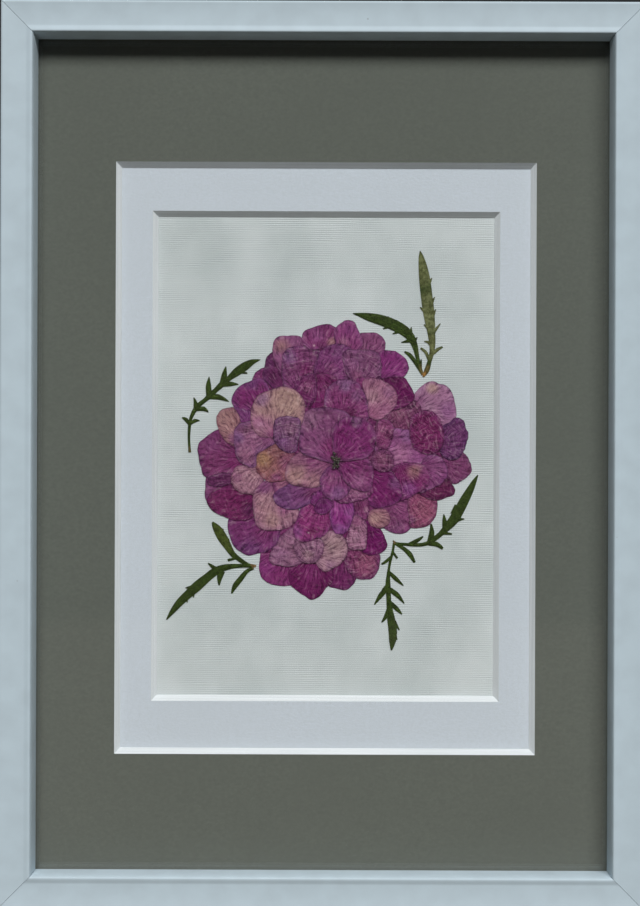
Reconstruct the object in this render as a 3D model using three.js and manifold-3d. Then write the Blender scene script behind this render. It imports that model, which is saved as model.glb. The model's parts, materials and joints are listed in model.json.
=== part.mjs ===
// A pressed flower frame: hydrangea sepals and lobed leaves laid as a collage on a linen card,
// behind two bevelled mounts and a sheet of glass, in a slim white moulding with a backing board.
// Millimetres, +Z up. The picture faces -Y, and the origin is the notch of the hanger that the
// wall hook bears on.
import * as THREE from "three";
import { mergeVertices } from "three/addons/utils/BufferGeometryUtils.js";
import Module from "manifold-3d";

const wasm = await Module();
wasm.setup();

// ---------------------------------------------------------------- driving dimensions

const SIGHT_WIDTH = 200; // what the moulding leaves open
const SIGHT_HEIGHT = 290;
const RAIL_FACE = 11; // width of the moulding seen from the front
const RAIL_DEPTH = 22.6; // wall to the crest of the bead
const LIP_DEPTH = 6.8; // bead crest to the glass
const REBATE = 5.5; // how far the lip covers the sheets behind it
const MITRE_GAP = 0.1;

const SHOULDER_DROP = 0.25; // outer shoulder below the bead crest
const SHOULDER_ROUND = 0.8;
const SCOOP_DEPTH = 0.35;
const BEAD_WIDTH = 1.3;
const BEAD_ROUND = 0.4;

const SHEET_PLAY = 0.3; // between a sheet's edge and the rebate
const SHEET_GAP = 0.05; // between one sheet and the next
const GLASS_THICKNESS = 2;
const MOUNT_THICKNESS = 1.8;
const CARD_THICKNESS = 0.4;
const BACKING_THICKNESS = 3;

const OUTER_WINDOW = { width: 147, height: 207, x: 1, z: -1.1 };
const INNER_WINDOW = { width: 122, height: 172, x: 1.1, z: -0.4 };

const HANGER = { length: 44, height: 9, foot: 7, gauge: 0.8, lift: 1.5, drop: 24 };
const HANGER_SLOT = { length: 24, height: 3.4, teeth: 12, tooth: 0.9 };

const LEAF_THICKNESS = 0.12;
const PETAL_THICKNESS = 0.08;
const PETAL_GAP = 0.03; // between a petal and what it lies on
const SEPAL_STEP = 0.05; // from one sepal of a floret up to the next
const FLORET_EYE = { radius: 1.9, height: 0.3 };
const PETAL_STEPS = 24; // straight edges round one petal
const STEPS_PER_STATION = 2; // along a leaf

// ---------------------------------------------------------------- sizes that follow

const FRAME_WIDTH = SIGHT_WIDTH + 2 * RAIL_FACE;
const FRAME_HEIGHT = SIGHT_HEIGHT + 2 * RAIL_FACE;
const SHEET_WIDTH = SIGHT_WIDTH + 2 * REBATE - 2 * SHEET_PLAY;
const SHEET_HEIGHT = SIGHT_HEIGHT + 2 * REBATE - 2 * SHEET_PLAY;

// Fronts of the sheets, measured forward from the wall.
const GLASS_FRONT = RAIL_DEPTH - LIP_DEPTH;
const OUTER_MOUNT_FRONT = GLASS_FRONT - GLASS_THICKNESS - SHEET_GAP;
const INNER_MOUNT_FRONT = OUTER_MOUNT_FRONT - MOUNT_THICKNESS - SHEET_GAP;
const CARD_FRONT = INNER_MOUNT_FRONT - MOUNT_THICKNESS - SHEET_GAP;
const BACKING_FRONT = CARD_FRONT - CARD_THICKNESS - SHEET_GAP;
const BACKING_BACK = BACKING_FRONT - BACKING_THICKNESS;

// The hook bears on the middle notch of the hanger, at the plate's back.
const HOOK_HEIGHT = SIGHT_HEIGHT / 2 - HANGER.drop;
const HOOK_FORWARD = BACKING_BACK - HANGER.lift - HANGER.gauge;

// ---------------------------------------------------------------- finishes

const finish = (color, roughness, metalness = 0) =>
  new THREE.MeshStandardMaterial({ color, roughness, metalness });

const FINISH = {
  moulding: () => finish("#e4e9ea", 0.38),
  glass: () => {
    const material = finish("#eef4f3", 0.05);
    material.transparent = true;
    material.opacity = 0.2;
    return material;
  },
  greyBoard: () => finish("#8d918b", 0.9),
  whiteBoard: () => finish("#dfe4e8", 0.9),
  card: () => finish("#d3d9cf", 0.95),
  hardboard: () => finish("#8a6a48", 0.85),
  steel: () => finish("#b9b6ae", 0.35, 1),
  leaf: () => finish("#36421f", 0.75),
  petal: (color) => finish(color, 0.8),
};

// ---------------------------------------------------------------- shared construction

function named(name, geometry, material) {
  const mesh = new THREE.Mesh(geometry, material);
  mesh.name = name;
  return mesh;
}

// Joins each loop of points to the next. An open run of loops is capped at both ends, and a
// ring of loops closes on its first one.
function skin(loops, ring = false) {
  const count = loops[0].length;
  const points = loops.flat();
  const faces = [];
  const spans = ring ? loops.length : loops.length - 1;
  for (let span = 0; span < spans; span += 1) {
    const here = span * count;
    const there = ((span + 1) % loops.length) * count;
    for (let i = 0; i < count; i += 1) {
      const next = (i + 1) % count;
      faces.push(here + i, here + next, there + next, here + i, there + next, there + i);
    }
  }
  if (!ring) {
    const last = (loops.length - 1) * count;
    for (const [a, b, c] of capFaces(loops[0])) {
      faces.push(c, b, a, last + a, last + b, last + c);
    }
  }
  const geometry = new THREE.BufferGeometry().setFromPoints(points);
  geometry.setIndex(faces);
  return faceOutward(geometry);
}

// A cap's triangles, on the two axes in which the loop is not seen edge on.
function capFaces(loop) {
  const size = new THREE.Box3().setFromPoints(loop).getSize(new THREE.Vector3());
  const across = size.x > size.z ? "x" : "z";
  const flat = loop.map((point) => new THREE.Vector2(point[across], point.y));
  const faces = THREE.ShapeUtils.triangulateShape(flat, []);
  return THREE.ShapeUtils.area(flat) < 0 ? faces.map(([a, b, c]) => [c, b, a]) : faces;
}

function signedVolume(geometry) {
  const position = geometry.getAttribute("position");
  const index = geometry.getIndex();
  const corner = (i) => new THREE.Vector3().fromBufferAttribute(position, index.getX(i));
  let six = 0;
  for (let i = 0; i < index.count; i += 3) {
    six += corner(i).dot(corner(i + 1).cross(corner(i + 2)));
  }
  return six / 6;
}

function faceOutward(geometry) {
  if (signedVolume(geometry) < 0) {
    geometry.setIndex([...geometry.getIndex().array].reverse());
  }
  return geometry;
}

function toSolid(geometry) {
  const bare = geometry.clone();
  bare.deleteAttribute("normal");
  bare.deleteAttribute("uv");
  const merged = mergeVertices(bare);
  const vertProperties = new Float32Array(merged.getAttribute("position").array);
  const triVerts = new Uint32Array(merged.getIndex().array);
  return new wasm.Manifold(new wasm.Mesh({ numProp: 3, vertProperties, triVerts }));
}

function toGeometry(solid) {
  const mesh = solid.getMesh();
  const geometry = new THREE.BufferGeometry();
  geometry.setAttribute("position", new THREE.Float32BufferAttribute(mesh.vertProperties, 3));
  geometry.setIndex([...mesh.triVerts]);
  return geometry;
}

const joined = (solids) => solids.reduce((whole, solid) => whole.add(solid));

// An outline in the plane of the picture, thickened towards the viewer from `back`, which is
// measured forward from the wall.
function flatPiece(outline, back, thickness) {
  const geometry = new THREE.ExtrudeGeometry(new THREE.Shape(outline), {
    depth: thickness,
    bevelEnabled: false,
  });
  return geometry.rotateX(Math.PI / 2).translate(0, -back, 0);
}

// ---------------------------------------------------------------- moulding

// Cross-section: x runs inward from the outer edge, y forward from the wall.
function railSection() {
  const shoulder = RAIL_DEPTH - SHOULDER_DROP;
  const bead = RAIL_FACE - BEAD_WIDTH;
  const section = new THREE.Shape();
  section.moveTo(0, 0);
  section.lineTo(0, shoulder - SHOULDER_ROUND);
  section.quadraticCurveTo(0, shoulder, SHOULDER_ROUND, shoulder);
  section.quadraticCurveTo(bead / 2, shoulder - 2 * SCOOP_DEPTH, bead, shoulder - SHOULDER_DROP);
  section.quadraticCurveTo(bead, RAIL_DEPTH, bead + BEAD_ROUND, RAIL_DEPTH);
  section.lineTo(RAIL_FACE - BEAD_ROUND, RAIL_DEPTH);
  section.quadraticCurveTo(RAIL_FACE, RAIL_DEPTH, RAIL_FACE, RAIL_DEPTH - BEAD_ROUND);
  section.lineTo(RAIL_FACE, GLASS_FRONT + SHEET_GAP);
  section.lineTo(RAIL_FACE - REBATE, GLASS_FRONT + SHEET_GAP);
  section.lineTo(RAIL_FACE - REBATE, 0);
  return section.getPoints(5);
}

// A rail with mitred ends. `along` points down its length and `inward` to the picture's middle.
function rail(name, along, inward, length, span) {
  const end = (side) =>
    railSection().map(({ x: depthIn, y: forward }) => {
      const half = length / 2 - depthIn - MITRE_GAP / 2;
      return new THREE.Vector3(0, -forward, 0)
        .addScaledVector(along, side * half)
        .addScaledVector(inward, depthIn - span / 2);
    });
  return named(name, skin([end(-1), end(1)]), FINISH.moulding());
}

function rails() {
  const across = new THREE.Vector3(1, 0, 0);
  const up = new THREE.Vector3(0, 0, 1);
  const left = across.clone().negate();
  const down = up.clone().negate();
  return [
    rail("rail_top", across, down, FRAME_WIDTH, FRAME_HEIGHT),
    rail("rail_bottom", across, up, FRAME_WIDTH, FRAME_HEIGHT),
    rail("rail_left", up, across, FRAME_HEIGHT, FRAME_WIDTH),
    rail("rail_right", up, left, FRAME_HEIGHT, FRAME_WIDTH),
  ];
}

// ---------------------------------------------------------------- sheets behind the lip

function sheet(name, front, thickness, material) {
  const geometry = new THREE.BoxGeometry(SHEET_WIDTH, thickness, SHEET_HEIGHT);
  geometry.translate(0, thickness / 2 - front, 0);
  return named(name, geometry, material);
}

function rectangle(width, height, centreX, centreZ, forward) {
  const corner = (x, z) =>
    new THREE.Vector3(centreX + (x * width) / 2, -forward, centreZ + (z * height) / 2);
  return [corner(-1, -1), corner(1, -1), corner(1, 1), corner(-1, 1)];
}

// A board with a window whose edges slope in at 45 degrees, narrowest at the back.
function mount(name, front, window, material) {
  const back = front - MOUNT_THICKNESS;
  const { width, height, x, z } = window;
  const narrow = 2 * MOUNT_THICKNESS;
  const loops = [
    rectangle(SHEET_WIDTH, SHEET_HEIGHT, 0, 0, back),
    rectangle(SHEET_WIDTH, SHEET_HEIGHT, 0, 0, front),
    rectangle(width, height, x, z, front),
    rectangle(width - narrow, height - narrow, x, z, back),
  ];
  return named(name, skin(loops, true), material);
}

function sheets() {
  return [
    sheet("glass", GLASS_FRONT, GLASS_THICKNESS, FINISH.glass()),
    mount("outer_mount", OUTER_MOUNT_FRONT, OUTER_WINDOW, FINISH.greyBoard()),
    mount("inner_mount", INNER_MOUNT_FRONT, INNER_WINDOW, FINISH.whiteBoard()),
    sheet("linen_card", CARD_FRONT, CARD_THICKNESS, FINISH.card()),
    sheet("backing_board", BACKING_FRONT, BACKING_THICKNESS, FINISH.hardboard()),
  ];
}

// ---------------------------------------------------------------- hanger

// A strip with its ends stepped down onto the board, drawn from above.
function hangerStrip() {
  const { length, height, foot, gauge, lift } = HANGER;
  const half = length / 2;
  const strip = new THREE.Shape();
  strip.moveTo(-half, 0);
  strip.lineTo(foot - half, 0);
  strip.lineTo(foot + lift - half, lift);
  strip.lineTo(half - foot - lift, lift);
  strip.lineTo(half - foot, 0);
  strip.lineTo(half, 0);
  strip.lineTo(half, gauge);
  strip.lineTo(half - foot + gauge / 2, gauge);
  strip.lineTo(half - foot - lift + gauge / 2, lift + gauge);
  strip.lineTo(foot + lift - half - gauge / 2, lift + gauge);
  strip.lineTo(foot - half - gauge / 2, gauge);
  strip.lineTo(-half, gauge);
  return new THREE.ExtrudeGeometry(strip, { depth: height, bevelEnabled: false });
}

// The slot's upper edge is a row of notches, and the middle one holds the hook.
function hangerSlot() {
  const { length, height, teeth, tooth } = HANGER_SLOT;
  const pitch = length / teeth;
  const slot = new THREE.Shape();
  slot.moveTo(-length / 2, -height);
  slot.lineTo(length / 2, -height);
  for (let step = teeth; step >= 0; step -= 1) {
    const x = step * pitch - length / 2;
    const notch = step % 2 === 0 ? 0 : -tooth;
    slot.lineTo(x, notch);
  }
  return slot.getPoints();
}

function hanger() {
  const { height, lift, gauge } = HANGER;
  const reach = lift + gauge + 1;
  const strip = hangerStrip();
  strip.translate(0, -BACKING_BACK, HOOK_HEIGHT - height / 2 - HANGER_SLOT.height / 2);
  const slot = flatPiece(hangerSlot(), BACKING_BACK - reach, reach - lift / 2);
  slot.translate(0, 0, HOOK_HEIGHT);
  const plate = toSolid(strip).subtract(toSolid(slot));
  return named("hanger", toGeometry(plate), FINISH.steel());
}

// ---------------------------------------------------------------- leaf sprigs

// A sprig is one cut piece of lobed leaf. Each strand is a stem, a blade, a lobe or a tooth,
// as stations [x, z, width] from its foot to its tip, measured from the picture's middle.
const SPRIGS = {
  sprig_left: [
    [[-46.8, 0.8, 1], [-47.1, 5, 0.9], [-47, 9.5, 1.1], [-46.4, 13, 1.2], [-44.4, 16.8, 1.7],
      [-41.6, 19.2, 1.5], [-39.6, 21, 2], [-37.6, 22.9, 1.7], [-35.2, 25.2, 2.3], [-33, 27, 1.9],
      [-30.5, 29.1, 2.9], [-27.5, 31.2, 3], [-24.8, 32.8, 1.9], [-22, 33.6, 0.2]],
    [[-47, 10.6, 0.9], [-48.1, 12.3, 1.4], [-49.6, 13.1, 0.4]],
    [[-46.8, 10.8, 0.9], [-45, 12, 1.3], [-43.3, 12, 0.2]],
    [[-44.9, 16, 1.5], [-44.8, 18, 1.5], [-45.5, 20.2, 0.3]],
    [[-44.9, 15.9, 1.1], [-42, 16.2, 1.6], [-40.3, 15, 0.3]],
    [[-40.1, 20.5, 2], [-40.3, 24.3, 1.9], [-40.1, 27.5, 0.3]],
    [[-40.2, 20.4, 1.6], [-36.8, 20.4, 1.9], [-33.1, 18.8, 0.3]],
    [[-35.2, 24.8, 2.6], [-34.7, 28.3, 1.9], [-34.2, 31.1, 0.4]],
    [[-35.4, 24.7, 1.6], [-32.3, 25, 1.6], [-29.7, 24.8, 0.3]],
    [[-30, 30.2, 1.4], [-28.6, 32.2, 0.3]],
    [[-29.4, 29.3, 1.4], [-26.6, 28.8, 0.4]],
  ],
  sprig_top: [
    [[35.3, 27.7, 0.6], [36.6, 30, 1.8], [37.5, 33, 1.5], [38.4, 36.5, 1.7], [38.5, 40, 2.3],
      [38.1, 44, 2.9], [37.3, 50, 4], [36.5, 56, 4.1], [35.9, 61, 4], [35.2, 66, 3.2],
      [34.5, 70, 1.8], [34.1, 72.2, 0.2]],
    [[38.2, 35.4, 1.2], [40.4, 37.4, 1.2], [42.2, 38.3, 0.6]],
    [[39, 43.5, 1.4], [41.4, 46.6, 0.3]],
    [[38.4, 48.5, 1.6], [39.7, 51.6, 0.3]],
    [[37.8, 53, 1.8], [39.3, 55.9, 0.3]],
    [[37, 60, 1.6], [38.3, 62.6, 0.3]],
    [[36, 50.6, 1.4], [34.1, 52.3, 0.3]],
    [[37.4, 44.6, 1.4], [35.5, 46.2, 0.3]],
    [[38.6, 38.2, 1.2], [37, 40, 0.9], [35.6, 40.2, 0.3]],
    [[37.6, 33, 1], [36.3, 36.3, 1.1], [34.4, 37.9, 0.7]],
    [[35.2, 28.4, 1], [33.8, 32.5, 1.2], [33, 36, 1.6], [32.4, 38.6, 2.1], [31, 41.6, 2.9],
      [28.8, 43.8, 3.6], [25.4, 45.8, 3.9], [21, 47.5, 3.8], [16.5, 48.7, 2.9],
      [12.6, 49.6, 1.3], [10.4, 50, 0.2]],
    [[35, 29, 1.2], [32.6, 32.8, 1.3], [30.6, 35.4, 1.4], [28.7, 36.6, 0.6]],
    [[34.6, 30.8, 0.7], [34.6, 33.9, 0.5]],
    [[30.9, 42.6, 1.6], [31.1, 45.3, 0.3]],
    [[31.8, 39.4, 1.8], [33.2, 41.7, 0.3]],
    [[26.8, 46, 1.4], [25.9, 47.8, 0.3]],
    [[23.8, 47.6, 1.2], [22.8, 49, 0.3]],
    [[23.2, 45.6, 1.6], [21.1, 44.5, 0.3]],
    [[27, 43.8, 1.6], [24.5, 42.8, 0.3]],
    [[30.8, 40.6, 1.6], [27.6, 39.8, 0.3]],
  ],
  sprig_low_left: [
    [[-23.3, -39.2, 0.9], [-26, -38.8, 1.3], [-29, -37, 1.6], [-31.5, -35, 2], [-33.3, -32.2, 2.7],
      [-35, -29.5, 3.4], [-36.6, -26.8, 3.2], [-38, -24.8, 1.9], [-38.7, -23.7, 0.6]],
    [[-30, -36.4, 0.9], [-33.3, -37.1, 0.9]],
    [[-34.2, -29, 1.6], [-32.7, -30.2, 0.3]],
    [[-36, -26.4, 1.4], [-34.7, -26.2, 0.3]],
    [[-24, -39.3, 0.9], [-27.5, -39.1, 1.2], [-31, -39.2, 1.6], [-34.5, -39.8, 2.3],
      [-37.5, -41, 2.9], [-40.5, -43.3, 3], [-44, -46.3, 3.5], [-47, -49, 3], [-50, -51.9, 2.7],
      [-52.7, -55.2, 1.8], [-54.8, -58.2, 0.4]],
    [[-37.4, -40.4, 1.9], [-40.2, -38.2, 0.5]],
    [[-45.6, -46.6, 1.5], [-48.2, -47, 0.4]],
    [[-45.6, -48, 1.6], [-45.2, -50.4, 0.3]],
    [[-48.2, -50.4, 1.5], [-47.4, -52.1, 0.3]],
    [[-35.6, -41, 2.8], [-36.2, -43.8, 1.7], [-36.3, -46, 0.5]],
    [[-24.2, -39.8, 1.1], [-26.5, -41, 1.4], [-28.9, -43.9, 1.9], [-30.7, -46.2, 1.8],
      [-31.9, -48.9, 0.5]],
  ],
  sprig_right: [
    [[24.9, -30, 0.5], [26, -31, 1], [29, -31.3, 1.1], [33, -31.5, 1.2], [36.5, -31.1, 1.4],
      [39, -29.7, 1.8], [41.5, -27.8, 1.8], [44, -25.2, 2.7], [46.4, -22.4, 3.5],
      [48.2, -19.3, 3.5], [50, -15.8, 3.3], [51.9, -12.3, 2.6], [53.4, -9.3, 1.7],
      [54.8, -6.7, 0.3]],
    [[30.6, -31.2, 1], [33.4, -30, 1.4], [35.6, -28.5, 0.5]],
    [[38, -30.4, 2.2], [38.6, -27, 1.8], [38.3, -24, 0.5]],
    [[37.4, -31, 1.5], [40.4, -31.3, 1.7], [42.5, -32.8, 0.9]],
    [[41.8, -27.2, 1.4], [45.7, -27.6, 0.6]],
    [[43.3, -25.6, 2], [43, -22.6, 1.4], [42.8, -20.6, 0.3]],
    [[46, -20.6, 1.9], [46.9, -17.2, 0.5]],
    [[48.6, -16.6, 1.5], [49.6, -14.1, 0.4]],
    [[46.8, -22.6, 2], [50.1, -22.3, 0.3]],
    [[25.8, -31.1, 1], [28.8, -32.9, 1.4], [31, -35, 1.7], [32.6, -37.7, 0.8]],
    [[25.3, -30.8, 0.9], [24.9, -33.6, 0.9], [24.2, -36.4, 1], [23.6, -39.4, 0.9],
      [23.3, -42.5, 1.3], [23.2, -46, 1.9], [23.4, -49, 1.7], [23.6, -52, 1.8],
      [24, -55.5, 2.4], [24.6, -59, 3], [25, -62.5, 3], [24.9, -65.5, 2.4], [24.5, -68.7, 0.5]],
    [[24.4, -35.6, 0.9], [22.6, -37.3, 1.1], [20.9, -38.4, 0.6]],
    [[24.8, -34, 0.9], [26.5, -36.3, 0.8]],
    [[23.4, -41, 1.1], [26, -43.5, 1.5], [28.7, -45.9, 0.3]],
    [[23, -46.6, 1.6], [20.8, -49.2, 1.8], [18.4, -52.7, 0.3]],
    [[22.9, -45.8, 1.2], [21.2, -47.3, 0.4]],
    [[23.5, -47, 1.6], [26.5, -49.2, 1.7], [29, -52.2, 0.3]],
    [[23.9, -51.8, 1.5], [26.4, -54.1, 1.5], [28.2, -56, 0.4]],
    [[23.7, -53.8, 1.6], [22.4, -57, 1.4], [21, -58.9, 0.4]],
    [[25.4, -58.6, 1.6], [27.3, -61.6, 0.4]],
    [[25.4, -62.4, 1.6], [26.5, -65, 0.4]],
  ],
};

// The outline of one strand: a smooth run down its stations, half its width to either side.
function strandOutline(stations) {
  const points = stations.map(([x, z, width]) => new THREE.Vector3(x, z, width));
  const curve = new THREE.CatmullRomCurve3(points, false, "centripetal");
  const steps = (stations.length - 1) * STEPS_PER_STATION;
  const right = [];
  const left = [];
  for (let step = 0; step <= steps; step += 1) {
    const { x, y, z: width } = curve.getPoint(step / steps);
    const tangent = curve.getTangent(step / steps);
    const side = new THREE.Vector2(tangent.y, -tangent.x).setLength(width / 2);
    right.push(new THREE.Vector2(x + side.x, y + side.y));
    left.unshift(new THREE.Vector2(x - side.x, y - side.y));
  }
  return [...right, ...left];
}

function sprig(name, strands) {
  const outlines = strands.map(strandOutline);
  const solids = outlines.map((outline) =>
    toSolid(flatPiece(outline, CARD_FRONT + PETAL_GAP, LEAF_THICKNESS)),
  );
  const top = CARD_FRONT + PETAL_GAP + LEAF_THICKNESS;
  return { outlines, top, mesh: named(name, toGeometry(joined(solids)), FINISH.leaf()) };
}

// ---------------------------------------------------------------- petals and florets

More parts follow.
